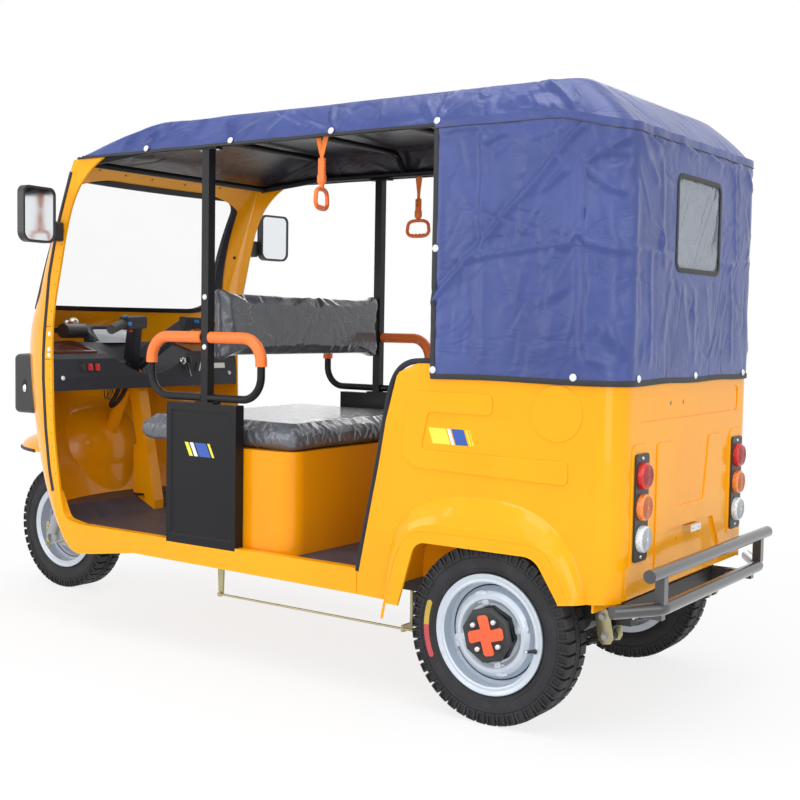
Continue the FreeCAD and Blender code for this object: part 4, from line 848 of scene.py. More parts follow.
# Creases as two ends on the cloth, a height and a width: (y, z) on the sides and (x, z) at the rear.
sideCreases = [
    ((254, 1616), (-209, 1157), 4.5, 7), ((251, 1510), (258, 972), -4.0, 8),
    ((-52, 1626), (-44, 1295), 3.5, 8), ((-44, 1295), (-36, 991), 1.6, 12),
    ((-129, 1273), (24, 1291), 3.0, 7), ((24, 1291), (236, 1312), 2.6, 8),
    ((260, 1308), (396, 1286), 2.6, 9), ((260, 1515), (383, 1593), 5.0, 10),
    ((315, 1501), (391, 1528), -4.5, 9), ((261, 1498), (359, 1433), 5.0, 10),
    ((131, 1450), (205, 1501), 4.0, 9), ((223, 1318), (244, 1341), 5.0, 6),
    ((244, 1341), (264, 1306), 5.0, 6), ((321, 1100), (390, 990), 7.0, 14),
    ((269, 1016), (324, 997), 5.0, 10), ((-51, 1586), (23, 1609), 3.5, 8),
    ((-190, 1630), (-52, 1626), 2.4, 9), ((80, 1441), (179, 1542), 2.5, 14),
    ((137, 1246), (246, 1389), 2.2, 22), ((292, 1464), (345, 1298), 3.0, 16),
    ((126, 1150), (226, 1201), 1.5, 14), ((391, 1426), (399, 983), 3.0, 12),
    ((224, 1726), (214, 1646), 5.0, 7), ((-187, 1735), (-194, 1650), 6.0, 8),
    ((21, 1683), (123, 1736), 5.0, 10), ((41, 1660), (225, 1671), 3.0, 8),
    ((-150, 1741), (-189, 1701), 3.5, 9), ((-60, 1735), (-178, 1655), 3.0, 12),
    ((60, 1700), (150, 1665), 3.0, 12), ((120, 1740), (205, 1680), 4.0, 9),
    ((-260, 1725), (-205, 1655), 3.0, 9), ((-565, 1655), (-600, 1730), 4.5, 8),
    ((-570, 1655), (-530, 1735), 3.5, 9), ((-585, 1650), (-680, 1690), 3.0, 9),
    ((-965, 1655), (-1010, 1725), 3.5, 8), ((-960, 1652), (-900, 1700), 3.0, 9),
    ((-760, 1725), (-820, 1670), 3.0, 12), ((-1337, 1655), (-1337, 1715), 3.5, 9),
    ((-1250, 1715), (-1150, 1680), 3.0, 14), ((-1452, 1650), (-1430, 1712), 3.0, 10),
    ((-1652, 1650), (-1590, 1690), 3.0, 9), ((-410, 1735), (-400, 1665), 2.5, 10),
    ((-180, 1560), (-175, 1000), 1.2, 10), ((90, 1560), (70, 1330), 2.0, 18),
    ((180, 1250), (160, 1010), 1.4, 22), ((345, 1250), (330, 1060), 2.4, 16),
    ((20, 1120), (150, 1000), 1.2, 20),
]
rearCreases = [
    ((430, 1296), (187, 1290), 3.2, 7), ((-170, 1284), (-430, 1300), 3.2, 7),
    ((339, 1296), (324, 990), 2.6, 12), ((280, 1544), (254, 1301), 2.6, 12),
    ((-267, 1564), (-291, 1306), 3.0, 10), ((-257, 1278), (-284, 991), 2.6, 12),
    ((29, 1200), (14, 996), 1.8, 16), ((-197, 1134), (-245, 1207), 1.6, 14),
    ((415, 1593), (300, 1467), 3.5, 14), ((430, 1470), (424, 1010), 2.4, 14),
    ((150, 1597), (20, 1578), 4.0, 8), ((-60, 1588), (-158, 1568), 4.0, 8),
    ((370, 1590), (290, 1565), 4.0, 8), ((250, 1575), (200, 1590), 3.0, 8),
    ((-230, 1570), (-330, 1588), 4.0, 8), ((-380, 1580), (-430, 1520), 3.5, 12),
    ((120, 1230), (60, 1040), 1.4, 18), ((-60, 1220), (-110, 1040), 1.4, 18),
    ((200, 1230), (240, 1050), 1.4, 18), ((262, 1300), (262, 1340), 4.0, 6),
    ((-262, 1286), (-240, 1262), 4.0, 6),
]


def roundedLoop(half, front, back, corner, counts):
    # Points round a plan with rounded corners, from the left front corner back, across and round.
    corner = min(corner, half * 0.999)
    along, turn, across = counts
    loop = []
    for share in np.linspace(0, 1, along, endpoint=False):
        loop.append((half, front + corner + (back - front - 2 * corner) * share))
    for angle in np.linspace(0, math.pi / 2, turn, endpoint=False):
        loop.append((half - corner + corner * math.cos(angle), back - corner + corner * math.sin(angle)))
    for share in np.linspace(0, 1, across, endpoint=False):
        loop.append((half - corner - 2 * (half - corner) * share, back))
    for angle in np.linspace(0, math.pi / 2, turn, endpoint=False):
        loop.append((-half + corner - corner * math.sin(angle), back - corner + corner * math.cos(angle)))
    for share in np.linspace(0, 1, along, endpoint=False):
        loop.append((-half, back - corner - (back - front - 2 * corner) * share))
    for angle in np.linspace(0, math.pi / 2, turn, endpoint=False):
        loop.append((-half + corner - corner * math.cos(angle), front + corner - corner * math.sin(angle)))
    for share in np.linspace(0, 1, across, endpoint=False):
        loop.append((-half + corner + 2 * (half - corner) * share, front))
    for angle in np.linspace(0, math.pi / 2, turn, endpoint=False):
        loop.append((half - corner + corner * math.sin(angle), front + corner - corner * math.cos(angle)))
    return np.array(loop)


def smoothStep(value, low, high):
    share = np.clip((value - low) / (high - low), 0, 1)
    return share * share * (3 - 2 * share)


def creaseHeight(first, second, creases):
    # How far the cloth stands proud at these places, summed over the creases.
    total = np.zeros(len(first))
    for start, end, height, width in creases:
        run = np.array(end, float) - np.array(start, float)
        length = np.hypot(*run)
        run /= length
        along = (first - start[0]) * run[0] + (second - start[1]) * run[1]
        off = (first - start[0]) * run[1] - (second - start[1]) * run[0]
        off = off + 2.5 * np.sin(along / 37.0 + start[0])
        fade = smoothStep(along, -18, 22) * (1 - smoothStep(along, length - 22, length + 18))
        total += height * fade * np.exp(-np.abs(off) / width)
        total -= 0.35 * height * fade * np.exp(-((off - 2.2 * width) / (1.3 * width)) ** 2)
    return total


def crumples(seed, count, low, high):
    # Short, sharp wrinkles in any direction, as stiff coated cloth keeps them.
    chance = np.random.default_rng(seed)
    marks = []
    for step in range(count):
        start = (chance.uniform(low[0], high[0]), chance.uniform(low[1], high[1]))
        angle = chance.normal(math.pi / 2, 0.75)
        length = chance.uniform(35, 150)
        end = (start[0] + length * math.cos(angle), start[1] + length * math.sin(angle))
        height = chance.choice((-1.0, 1.0)) * chance.uniform(0.5, 1.5)
        marks.append((start, end, height, chance.uniform(4, 9)))
    return marks


def ripple(first, second, seed, longest):
    # Slow, uneven waves in loose cloth.
    chance = np.random.default_rng(seed)
    total = np.zeros(len(first))
    for step in range(7):
        angle = chance.uniform(0, math.pi)
        wave = longest * chance.uniform(0.35, 1.0)
        phase = chance.uniform(0, math.tau)
        total += np.sin((first * math.cos(angle) + second * math.sin(angle)) * math.tau / wave + phase) / 7
    return total


def makeCloth(points, faces, name, node):
    # One sewn sheet with its two sides, and its area.
    used = sorted({corner for face in faces for corner in face})
    number = {corner: index for index, corner in enumerate(used)}
    cloth = meshPiece([spot(*points[corner]) for corner in used], [],
                      [tuple(number[corner] for corner in face) for face in faces])
    editAll()
    bpy.ops.mesh.remove_doubles(threshold=0.0004)
    bpy.ops.object.mode_set(mode="OBJECT")
    area = sum(polygon.area for polygon in cloth.data.polygons)
    wall = addModifier(cloth, "SOLIDIFY", thickness=canopyShape["thick"] / 1000, offset=-1, material_offset=1,
                       material_offset_rim=0)
    cloth.data.materials.append(finishes["canvas"])
    cloth.data.materials.append(finishes["canvasInside"])
    bpy.ops.object.modifier_apply(modifier=wall.name)
    bpy.ops.object.shade_smooth_by_angle(angle=math.radians(60))
    cloth.name = name
    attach(cloth, "body")
    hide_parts(node)
    print(name, len(cloth.data.polygons), "faces,", round(area, 2), "square metres")
    return cloth, area


def makeCanopy():
    # Rings of points up the slopes and over the roof, then rows of them down the curtain.
    form = canopyShape
    counts = (int((form["back"] - form["front"]) / form["step"]), form["cornerSteps"],
              int(2 * form["half"] / form["step"]))
    outer = roundedLoop(form["half"], form["front"], form["back"], form["corner"], counts)
    ridge = roundedLoop(form["ridgeHalf"], form["ridgeFront"], form["ridgeBack"], form["ridgeCorner"], counts)
    count = len(outer)
    sideCount = counts[0]
    frontStep = int(np.argmin(np.abs(outer[:sideCount, 1] - form["curtainFront"])))
    backEnd = sideCount + counts[1] + counts[2] + counts[1]
    backStep = backEnd + int(np.argmin(np.abs(outer[backEnd:backEnd + sideCount, 1] - form["curtainFront"])))
    for step in (frontStep, backStep):
        outer[step, 1] = form["curtainFront"]
    drop = smoothStep(outer[:, 1], 150, form["back"])
    eave = form["eave"] - drop * (form["eave"] - form["rearEave"])
    rows = []
    out = outer - ridge
    out = out / np.maximum(np.hypot(out[:, 0], out[:, 1]), 1)[:, None]
    for share in form["slope"]:
        flat = outer + (ridge - outer) * share
        puff = form["bulge"] * math.sin(math.pi * share)
        high = eave + (form["ridge"] - eave) * share - 4.0 * smoothStep(np.array([share]), 0.9, 1.0)[0]
        rows.append(np.column_stack([flat + out * puff, high + puff * 0.5]))
    bows = form["bows"]
    for step in range(1, form["roofSteps"] + 1):
        share = step / form["roofSteps"]
        inset = (form["ridgeHalf"] - 0.5) * share ** 1.15
        loop = roundedLoop(form["ridgeHalf"] - inset, form["ridgeFront"] + inset, form["ridgeBack"] - inset,
                           max(form["ridgeCorner"] - inset, 0.3), counts)
        sag = np.zeros(count)
        for near, far in zip(bows, bows[1:]):
            within = (loop[:, 1] > near) & (loop[:, 1] <= far)
            sag[within] = np.sin(math.pi * (loop[within, 1] - near) / (far - near)) ** 2
        high = form["ridge"] - 2 + form["crown"] * math.sin(math.pi / 2 * share)
        rows.append(np.column_stack([loop, high - form["sag"] * sag * (0.35 + 0.65 * share)]))
    curtain = np.arange(frontStep, backStep + 1)
    lowRows = []
    levels = int((form["rearEave"] - form["hem"]) / form["step"])
    for level in range(levels):
        share = level / levels
        high = form["hem"] + (eave[curtain] - form["hem"]) * share
        lowRows.append(np.column_stack([outer[curtain], high]))
    points = np.vstack(rows + lowRows)
    top = len(rows) * count
    faces = []
    for row in range(len(rows) - 1):
        for step in range(count):
            after = (step + 1) % count
            here, above = row * count, (row + 1) * count
            faces.append((here + step, here + after, above + after, above + step))
    roofFaces = len(faces)
    wide = len(curtain)
    window = form["window"]
    for level in range(levels):
        for step in range(wide - 1):
            low = (top + level * wide + step, top + level * wide + step + 1)
            if level + 1 < levels:
                high = (top + (level + 1) * wide + step, top + (level + 1) * wide + step + 1)
            else:
                high = (curtain[step], curtain[step + 1])
            x, y, z = points[list(low) + list(high)].mean(axis=0)
            if abs(x) < window["half"] - 3 and window["low"] + 3 < z < window["high"] - 3 and y > 300:
                continue
            faces.append((low[0], low[1], int(high[1]), int(high[0])))
    # Folds and wrinkles, along the cloth's own normals.
    flatMesh = bpy.data.meshes.new("flatCloth")
    flatMesh.from_pydata(points.tolist(), [], faces)
    flatMesh.update()
    normals = np.zeros(len(points) * 3)
    flatMesh.vertices.foreach_get("normal", normals)
    normals = normals.reshape(-1, 3)
    bpy.data.meshes.remove(flatMesh)
    if (normals[:count] * points[:count] * np.array([1, 0, 0])).sum() < 0:
        normals = -normals
        faces = [tuple(reversed(face)) for face in faces]
    x, y, z = points.T
    sideShare = smoothStep(np.abs(normals[:, 0]), 0.25, 0.8)
    rearShare = smoothStep(normals[:, 1], 0.25, 0.8)
    many, rearTop = form["crumples"], (form["back"], form["ridge"])
    sideMarks = sideCreases + crumples(31, many, (form["curtainFront"], form["hem"]), rearTop)
    sideMarks += crumples(32, many // 2, (form["front"], form["eave"]), rearTop)
    rearMarks = rearCreases + crumples(33, many, (-form["half"], form["hem"]), (form["half"], form["ridge"]))
    push = sideShare * (form["deep"] * creaseHeight(y, z, sideMarks) + 2.6 * ripple(y, z, 3, 420))
    push += rearShare * (form["deep"] * creaseHeight(x, z, rearMarks) + 2.6 * ripple(x, z, 5, 380))
    push += smoothStep(normals[:, 2], 0.5, 0.9) * 2.0 * ripple(x, y, 8, 500)
    nearHem = smoothStep(z, form["hem"] + 10, form["hem"] + 90)
    push = np.where(z < 1500, push * (0.25 + 0.75 * nearHem), push)
    push = np.clip(push, np.where(z < 1015, -0.8, -7.0), 9.0)
    beyond = np.maximum(window["low"] - z, z - window["high"])
    nearWindow = smoothStep(np.maximum(np.abs(x) - window["half"], beyond), 4, 40)
    push = np.where((y > 300) & (z < 1560), push * nearWindow, push)
    moved = points + normals * push[:, None]
    moved[:, 2] = np.where(z < form["hem"] + 2, moved[:, 2] + 1.6 * np.sin(x / 61 + y / 83), moved[:, 2])
    roof = makeCloth(moved, faces[:roofFaces], "roofCloth", "canopy_roof")
    sides = makeCloth(moved, faces[roofFaces:], "curtainCloth", "canopy_curtain")
    edge = {"frontStep": frontStep, "backStep": backStep, "moved": moved, "top": top, "wide": wide,
            "levels": levels, "count": count}
    return roof, sides, edge


def outwards(path):
    # Level directions away from the vehicle's middle, square to a path seen in plan.
    places = np.array([tuple(point) for point in path])
    ahead = np.gradient(places, axis=0)
    out = np.column_stack([ahead[:, 1], -ahead[:, 0], np.zeros(len(ahead))])
    middle = places - np.array(tuple(spot(0, -500, 1300)))
    turn = np.sign((out * middle).sum(axis=1))
    turn[turn == 0] = 1
    return [Vector(row).normalized() for row in out * turn[:, None]]


def lifted(path, out, height):
    return [point + normal * (height / 1000) for point, normal in zip(path, out)]


trimForm = {
    "binding": (15, 1.9), "bindingOut": 0.8, "hem": (9, 1.6), "hemUp": 3.0, "fold": (22, 1.8), "foldUp": 4.0,
    "hemShadow": (2.2, 2.2), "hemShadowOut": 1.4, "hemShadowDown": 11.2, "border": (14, 2.0), "film": (66, 54),
    "filmSunk": 3.4,
}


def makeCanopyTrim(edge):
    form, trim = canopyShape, trimForm
    moved, top, wide = edge["moved"], edge["top"], edge["wide"]
    hemRow = [spot(*moved[top + step]) for step in range(wide)]
    out = outwards(hemRow)
    binding = [strip(lifted(hemRow, out, trim["bindingOut"]), out, *trim["binding"])]
    for step, side in ((0, 1), (wide - 1, -1)):
        edgeRow = [spot(*moved[top + level * wide + step]) for level in range(0, edge["levels"], 2)]
        edgeRow.append(spot(side * form["half"], form["curtainFront"], form["eave"] - 3))
        edgeRow = [point + Vector((side * trim["bindingOut"] / 1000, 0.006, 0)) for point in edgeRow]
        binding.append(strip(edgeRow, [(side, 0, 0)] * len(edgeRow), *trim["binding"]))
    settle(together(binding), "curtainBinding", "binding")
    # The roof's own hem, turned under along the eaves, and round the front lip.
    ring = [index for index in range(edge["count"]) if not edge["frontStep"] < index < edge["backStep"]]
    split = ring.index(edge["backStep"])
    ring = ring[split:] + ring[:split]
    hem = [spot(*(moved[index] + np.array([0, 0, trim["hemUp"]]))) for index in ring[::2]]
    settle(strip(hem, outwards(hem), *trim["hem"]), "roofHem", "binding")
    # The roof's fold over the curtain, and under it a thin dark strip of painted shadow.
    fold = range(edge["frontStep"], edge["backStep"] + 1, 2)
    foldPath = [spot(*(moved[index] + np.array([0, 0, trim["foldUp"]]))) for index in fold]
    out = outwards(foldPath)
    settle(strip(foldPath, out, *trim["fold"], crown=0.2), "eaveFold", "canvas")
    # The dark strip stands for the shadow under the fold's lower edge: painted shadow.
    hemShadowPath = lifted(foldPath, out, trim["hemShadowOut"])
    hemShadowPath = [point - Vector((0, 0, trim["hemShadowDown"] / 1000)) for point in hemShadowPath]
    settle(strip(hemShadowPath, outwards(hemShadowPath), *trim["hemShadow"]), "eaveHemShadow", "canvasInside")


def makeWindow():
    window, back = canopyShape["window"], canopyShape["back"]
    half, low, high, corner = window["half"], window["low"], window["high"], window["corner"]
    middle, rise = (low + high) / 2, (high - low) / 2
    border = []
    for right, up, start in ((1, 1, 0), (-1, 1, 90), (-1, -1, 180), (1, -1, 270)):
        for turn in np.linspace(start, start + 90, 7):
            angle = math.radians(turn)
            border.append(spot(right * (half - corner) + corner * math.cos(angle), back + 0.2,
                               middle + up * (rise - corner) + corner * math.sin(angle)))
    loop = strip(border, [(0, 1, 0)] * len(border), *trimForm["border"], closed=True)
    settle(loop, "windowBorder", "binding")
    deselect()
    across, along = trimForm["film"]
    bpy.ops.mesh.primitive_grid_add(x_subdivisions=across, y_subdivisions=along, size=1)
    film = bpy.context.object
    for vert in film.data.vertices:
        x = vert.co.x * (2 * half - 2)
        z = middle + vert.co.y * (high - low - 2)
        fold = 2.6 * math.sin(x / 19 + 1.9 * math.sin(z / 43)) * (0.3 + 0.7 * math.sin(z / 47 + 1) ** 2)
        fold += 2.0 * math.sin(x / 12 + z / 15 + 2.4 * math.sin(x / 31 + z / 52))
        fold += 1.2 * abs(math.sin(x / 9 - z / 21 + 1.7 * math.sin(z / 13)))
        fade = max(0.0, min(1.0, (half - abs(x)) / 20, (z - low) / 20, (high - z) / 20))
        vert.co = spot(x, back - trimForm["filmSunk"] + fold * fade, z)
    return settle(film, "windowFilm", "film", stands=("rear_window",))


snapPlaces = {
    "eave": (-197, -568, -965, -1337, -1652), "curtainSide": ((-195, 1305), (-197, 968), (238, 963)),
    "curtainRear": (392, 0, -392), "profile": [(-1, 0), (-1, 10), (0.6, 10), (1.6, 9), (1.8, 7.4), (3.0, 6.8),
                                               (4.4, 4.5), (4.9, 0)],
}


def makeSnaps():
    places = []
    half = canopyShape["half"] + 2.5
    for side in (-1, 1):
        for y in snapPlaces["eave"]:
            places.append((spot(side * (half + 1), y, canopyShape["eave"] + 13), (side, 0, 0.3)))
        for y, z in snapPlaces["curtainSide"]:
            places.append((spot(side * (half + 0.5), y, z), (side, 0, 0)))
    for x in snapPlaces["curtainRear"]:
        places.append((spot(x, canopyShape["back"] + 2.5, 962), (0, 1, 0)))
    snaps = [turned(snapPlaces["profile"], place, normal, 24) for place, normal in places]
    settle(together(snaps), "canopySnaps", "snap")


roofCloth, curtainCloth, canopyEdge = makeCanopy()
makeCanopyTrim(canopyEdge)
makeWindow()
makeSnaps()
print("canopy finished")


# Cushions: a slack block is blown up as cloth, held to its frame, then creased like the film it is wrapped in

pads = {
    "seat": {"node": "seat_cushion", "size": (892, 718, 64), "place": (0, -1088, 725.5), "bevel": 26,
             "fill": 0.7, "low": (-459, -1461, 690.5), "high": (459, -715, 776)},
    "driverBack": {"node": "backrest", "size": (888, 44, 250), "place": (0, -1078, 1083), "bevel": 20,
                   "fill": 0.65, "low": (-455, -1116, 946), "high": (455, -1040, 1220)},
    "bench": {"node": "bench_cushion", "size": (800, 492, 64), "place": (0, -20, 727), "bevel": 24,
              "fill": 0.75, "low": (-414, -280, 690.5), "high": (414, 240, 782)},
    "benchBack": {"node": "bench_back", "size": (800, 46, 420), "place": (0, 328, 1020), "bevel": 20,
                  "fill": 0.7, "low": (-414, 288, 796), "high": (414, 366, 1244)},
}
padVoxel = 0.009
padSwell = 0.024
padFrames = 20
# Pleats of the film, as two ends, a height and a width: (x, z) on the driver's backrest.
backPleats = [
    ((-59, 1206), (413, 975), 4.0, 8), ((-59, 1206), (307, 968), 5.0, 9), ((-62, 1203), (215, 962), 4.0, 8),
    ((-64, 1202), (128, 962), 5.5, 10), ((-66, 1200), (30, 962), 3.0, 7), ((-70, 1204), (-137, 985), 6.5, 9),
    ((-70, 1204), (-208, 960), 5.5, 8), ((-75, 1205), (-270, 965), 4.0, 7),
    ((-78, 1206), (-350, 1040), 3.0, 8), ((-59, 1206), (360, 1120), 2.5, 12),
    ((-84, 1208), (-420, 1150), 2.5, 10), ((440, 1200), (395, 1010), 4.0, 7),
    ((430, 1210), (330, 1150), 3.5, 7), ((-440, 1205), (-380, 1130), 4.0, 7),
    ((-435, 1120), (-300, 1075), 2.5, 6), ((-300, 960), (-330, 1060), 4.0, 5),
    ((-340, 958), (-372, 1050), 4.5, 5), ((-380, 960), (-400, 1040), 4.0, 5),
    ((-420, 965), (-425, 1080), 4.0, 5), ((-170, 958), (-150, 1030), 3.5, 5),
    ((60, 958), (20, 1020), 3.0, 5), ((180, 958), (120, 1015), 3.0, 6), ((250, 960), (205, 1030), 3.0, 5),
    ((435, 960), (415, 1060), 4.0, 5), ((340, 958), (330, 1010), 3.5, 5), ((100, 1214), (20, 1185), 3.0, 5),
    ((210, 1214), (150, 1180), 2.5, 6), ((-200, 1214), (-250, 1190), 3.0, 5),
    ((-320, 1214), (-300, 1185), 2.5, 5), ((330, 1212), (300, 1190), 3.0, 5),
]


def scattered(seed, count, low, high, slope, length, height, width):
    # Short pleats that start along the edges of a face and run inwards.
    chance = np.random.default_rng(seed)
    pleats = []
    for step in range(count):
        alongEdge = chance.uniform(low[0], high[0])
        fromTop = chance.random() < 0.5
        start = high[1] if fromTop else low[1]
        reach = chance.uniform(*length) * (-1 if fromTop else 1)
        end = (alongEdge + chance.uniform(-slope, slope) * abs(reach), start + reach)
        pleats.append(((alongEdge, start), end, chance.uniform(*height), chance.uniform(*width)))
    return pleats


def facePleats(key, low, high):
    width = (3.5, 7.0)
    sideways = scattered(11, 34, (low[1], low[2]), (high[1], high[2]), 0.9, (25, 75), (1.5, 4.5), width)
    if key in ("seat", "bench"):
        ends = scattered(12, 60, (low[0], low[2]), (high[0], high[2]), 1.1, (30, 80), (1.5, 4.5), width)
        top = scattered(13, 46, (low[0], low[1]), (high[0], high[1]), 0.5, (70, 260), (1.2, 3.0), (6, 12))
        return sideways, ends, top
    seed = 14 if key == "driverBack" else 15
    extra = scattered(seed, 40, (low[0], low[2]), (high[0], high[2]), 0.6, (30, 120), (1.2, 3.0), (4.5, 8))
    return sideways, (backPleats + extra[:14] if key == "driverBack" else extra), extra[:6]


def makePad(key):
    form = pads[key]
    piece = brick(form["size"], spot(*form["place"]), form["bevel"], segments=4)
    only(piece)
    applied()
    remesh = addModifier(piece, "REMESH", mode="VOXEL", voxel_size=padVoxel)
    bpy.ops.object.modifier_apply(modifier=remesh.name)
    before = readMesh(piece, "co")
    scene = bpy.context.scene
    scene.frame_set(1)
    cloth = piece.modifiers.new("cloth", "CLOTH")
    cloth.settings.quality = 4
    cloth.settings.mass = 0.3
    cloth.settings.tension_stiffness = 12
    cloth.settings.compression_stiffness = 12
    cloth.settings.bending_stiffness = 1.5
    cloth.settings.use_pressure = True
    cloth.settings.uniform_pressure_force = 4
    cloth.settings.effector_weights.gravity = 0
    cloth.point_cache.frame_start = 1
    cloth.point_cache.frame_end = padFrames
    for step in range(1, padFrames + 1):
        scene.frame_set(step)
    only(piece)
    bpy.ops.object.modifier_apply(modifier=cloth.name)
    scene.frame_set(1)
    moved = readMesh(piece, "co") - before
    length = np.linalg.norm(moved, axis=1)
    moved *= (np.minimum(length, padSwell) / np.maximum(length, 1e-9))[:, None]
    low, high = np.array(spot(*form["low"])), np.array(spot(*form["high"]))
    piece.data.vertices.foreach_set("co", np.clip(before + moved, low, high).ravel())
    piece.data.update()
    only(piece)
    finer = addModifier(piece, "SUBSURF", levels=1, render_levels=1)
    bpy.ops.object.modifier_apply(modifier=finer.name)
    place, facing = readMesh(piece, "co"), readMesh(piece, "normal")
    x, y, z = (place * 1000 - np.array([0, axleBack, 0])).T
    sideways, ends, top = facePleats(key, form["low"], form["high"])
    sideShare = smoothStep(np.abs(facing[:, 0]), 0.3, 0.8)
    endShare = smoothStep(np.abs(facing[:, 1]), 0.3, 0.8)
    topShare = smoothStep(facing[:, 2], 0.3, 0.8)
    push = sideShare * creaseHeight(y, z, sideways) + endShare * creaseHeight(x, z, ends)
    push += topShare * creaseHeight(x, y, top) + 0.9 * ripple(x, y + z, 21, 160)
    bed = smoothStep(facing[:, 2], -0.4, -0.9) if key in ("seat", "bench") else 0.0
    push = np.clip(push, -4.0, 5.5) * (1 - bed) * (1 - smoothStep(-facing[:, 2], 0.4, 0.9))
    place = np.clip(place + facing * (push / 1000)[:, None], low, high)
    piece.data.vertices.foreach_set("co", place.ravel())
    piece.data.update()
    settle(piece, "cushion." + key, "leather", smooth=75, stands=(form["node"],))
    print("cushion", key, len(piece.data.polygons), "faces")


for padKey in pads:
    makePad(padKey)
print("cushions made")


# Rubber beads and flanges

doorEdge = [(-455, 368), (-412, 581), (-392, 672), (-376, 759), (-362, 840), (-352, 890), (-337, 940),
            (-312, 972), (-280, 988), (-240, 992), (-198, 992)]
screenEdge = [(-1712, 1600), (-1760, 1478), (-1790, 1399), (-1831, 1246), (-1857, 1049), (-1864, 963),
              (-1864, 876), (-1851, 703), (-1831, 555), (-1812, 480)]
flangeEdge = [(-1738, 1398), (-1769, 1278), (-1802, 1144), (-1815, 1050), (-1815, 964), (-1813, 836),
              (-1803, 663), (-1783, 543)]
archEdge = [(-344, 248), (-327, 335), (-303, 427), (-287, 465), (-264, 497), (-228, 518), (-160, 522),
            (-90, 522), (40, 522), (110, 521), (146, 518), (180, 503), (204, 482), (230, 431), (256, 382)]
cabDetail = {
    "doorBead": 8.5, "weatherstrip": (14, 4.0), "rivets": ((-1830, 1039), (-1832, 983), (-1832, 963)),
    "seams": (1064, 948), "seamRun": (-1853, -1840, -1826, -1817), "archBead": (9, 2.2),
    "headerHoles": ((326, -1746, 1626), (52, -1767, 1620), (-120, -1768, 1620), (-300, -1752, 1625),
                    (190, -1762, 1622)),
    "frameHole": (-430, -1806, 1353),
}


def alongLine(line, pitch):
    # The line's points, evenly spaced.
    line = np.array(line, float)
    run = np.concatenate([[0], np.cumsum(np.hypot(*np.diff(line, axis=0).T))])
    steps = np.linspace(0, run[-1], max(2, int(run[-1] / pitch) + 1))
    return np.column_stack([np.interp(steps, run, line[:, column]) for column in range(line.shape[1])])


def onSide(y, z, names, fallback=484.0):
    # The outside of the cab at this height, from the vehicle's left.
    for name in names:
        place, normal = touch(name, spot(700, y, z), (-1, 0, 0))
        if place and place[0] > 0.4:
            return place, normal
    return spot(fallback, y, z), Vector((1, 0, 0))


def makeBeads():
    form = cabDetail
    front = ("front_cowl", "windscreen_frame")
    bead = tube([spot(480.5, y, z) for y, z in doorEdge], form["doorBead"])
    settle(mirroredToo(bead), "doorEdgeBead", "seal")
    path = [onSide(y, z, front)[0] for y, z in alongLine(screenEdge, 28)]
    band = strip(path, [(1, -0.12, 0)] * len(path), *form["weatherstrip"], crown=0.5)
    settle(mirroredToo(band), "cabWeatherstrip", "seal")
    places = [onSide(y - 12, z, front)[0] for y, z in alongLine(flangeEdge, 46)]
    holes = [hole(place, (1, 0, 0), 2.4, 2.2, 0.35, 12) for place in places]
    settle(mirroredToo(together(holes)), "flangeHoles", "holeShadeAndSeams")
    rivets = [dome(spot(483.5, y, z), (1, 0, 0), 8.5, 4.5) for y, z in form["rivets"]]
    settle(mirroredToo(together(rivets)), "cowlRivets", "snap")
    lines = [[spot(484.3, y, z) for y in form["seamRun"]] for z in form["seams"]]
    seams = [strip(line, [(1, 0, 0)] * len(line), 1.8, 0.7) for line in lines]
    settle(mirroredToo(together(seams)), "flangeSeams", "holeShadeAndSeams")
    header = []
    for start in form["headerHoles"]:
        place, normal = touch("windscreen_frame", spot(*start) + Vector((0, 0.03, -0.025)), (0, -0.75, 0.67))
        if place:
            header.append(hole(place, normal, 4.2, 4, 0.4, 14))
    place, normal = touch("windscreen_frame", spot(*form["frameHole"]), (-0.91, -0.41, 0.1))
    if place:
        header.append(hole(place, normal, 7, 6.5, 0.4, 16))
    settle(together(header), "screenFrameHoles", "holeShadeAndSeams")


def makeArchBead():
    # The raised line round the wheel opening, just above its lip.
    path, out = [], []
    for y, z in alongLine(archEdge, 14):
        place, normal = onSide(y, z, ("side_panel_left",), 512)
        path.append(place - normal * 0.0004)
        out.append(normal)
    settle(mirroredToo(strip(path, out, *cabDetail["archBead"], crown=0.75)), "archBead", "yellow")


makeBeads()
makeArchBead()
print("beads and flanges finished")


# Dashboard, switches, key, screen, wires

dash = {
    "lean": math.radians(9.2), "facing": Vector((0, 0.99, 0.16)), "plainSwitch": (343, 918),
    "rockers": ((309, 917), (276, 916)), "rocker": (18.5, 8, 12.6), "screws": ((437, 880.6), (-430, 880.7)),
    "key": (-168, 934), "lock": [(-1, 0), (-1, 14), (3, 14), (5, 12), (5, 10), (12, 9.5), (13, 8), (13, 0)],
    "spareKey": (-184, 908), "spareBlade": (-190, 884), "keyRing": (-178, 921), "cardSlot": (-240, 911),
    "cardTrim": (-262, 909), "cardLean": math.radians(-27), "socketCover": (-360, 912),
}
display = {
    "screenPlace": (0, -2041.5, 1028), "framePlace": (0, -2041, 1028), "up": Vector((0, -0.57, 0.82)),
    "out": Vector((0, 0.82, 0.57)),
    "screen": [(98, -34), (98, 20), (88, 30), (-88, 30), (-98, 20), (-98, -34)],
    "frame": [(108, -40), (106, 16), (94, 37), (60, 40), (-60, 40), (-94, 37), (-106, 16), (-108, -40)],
}
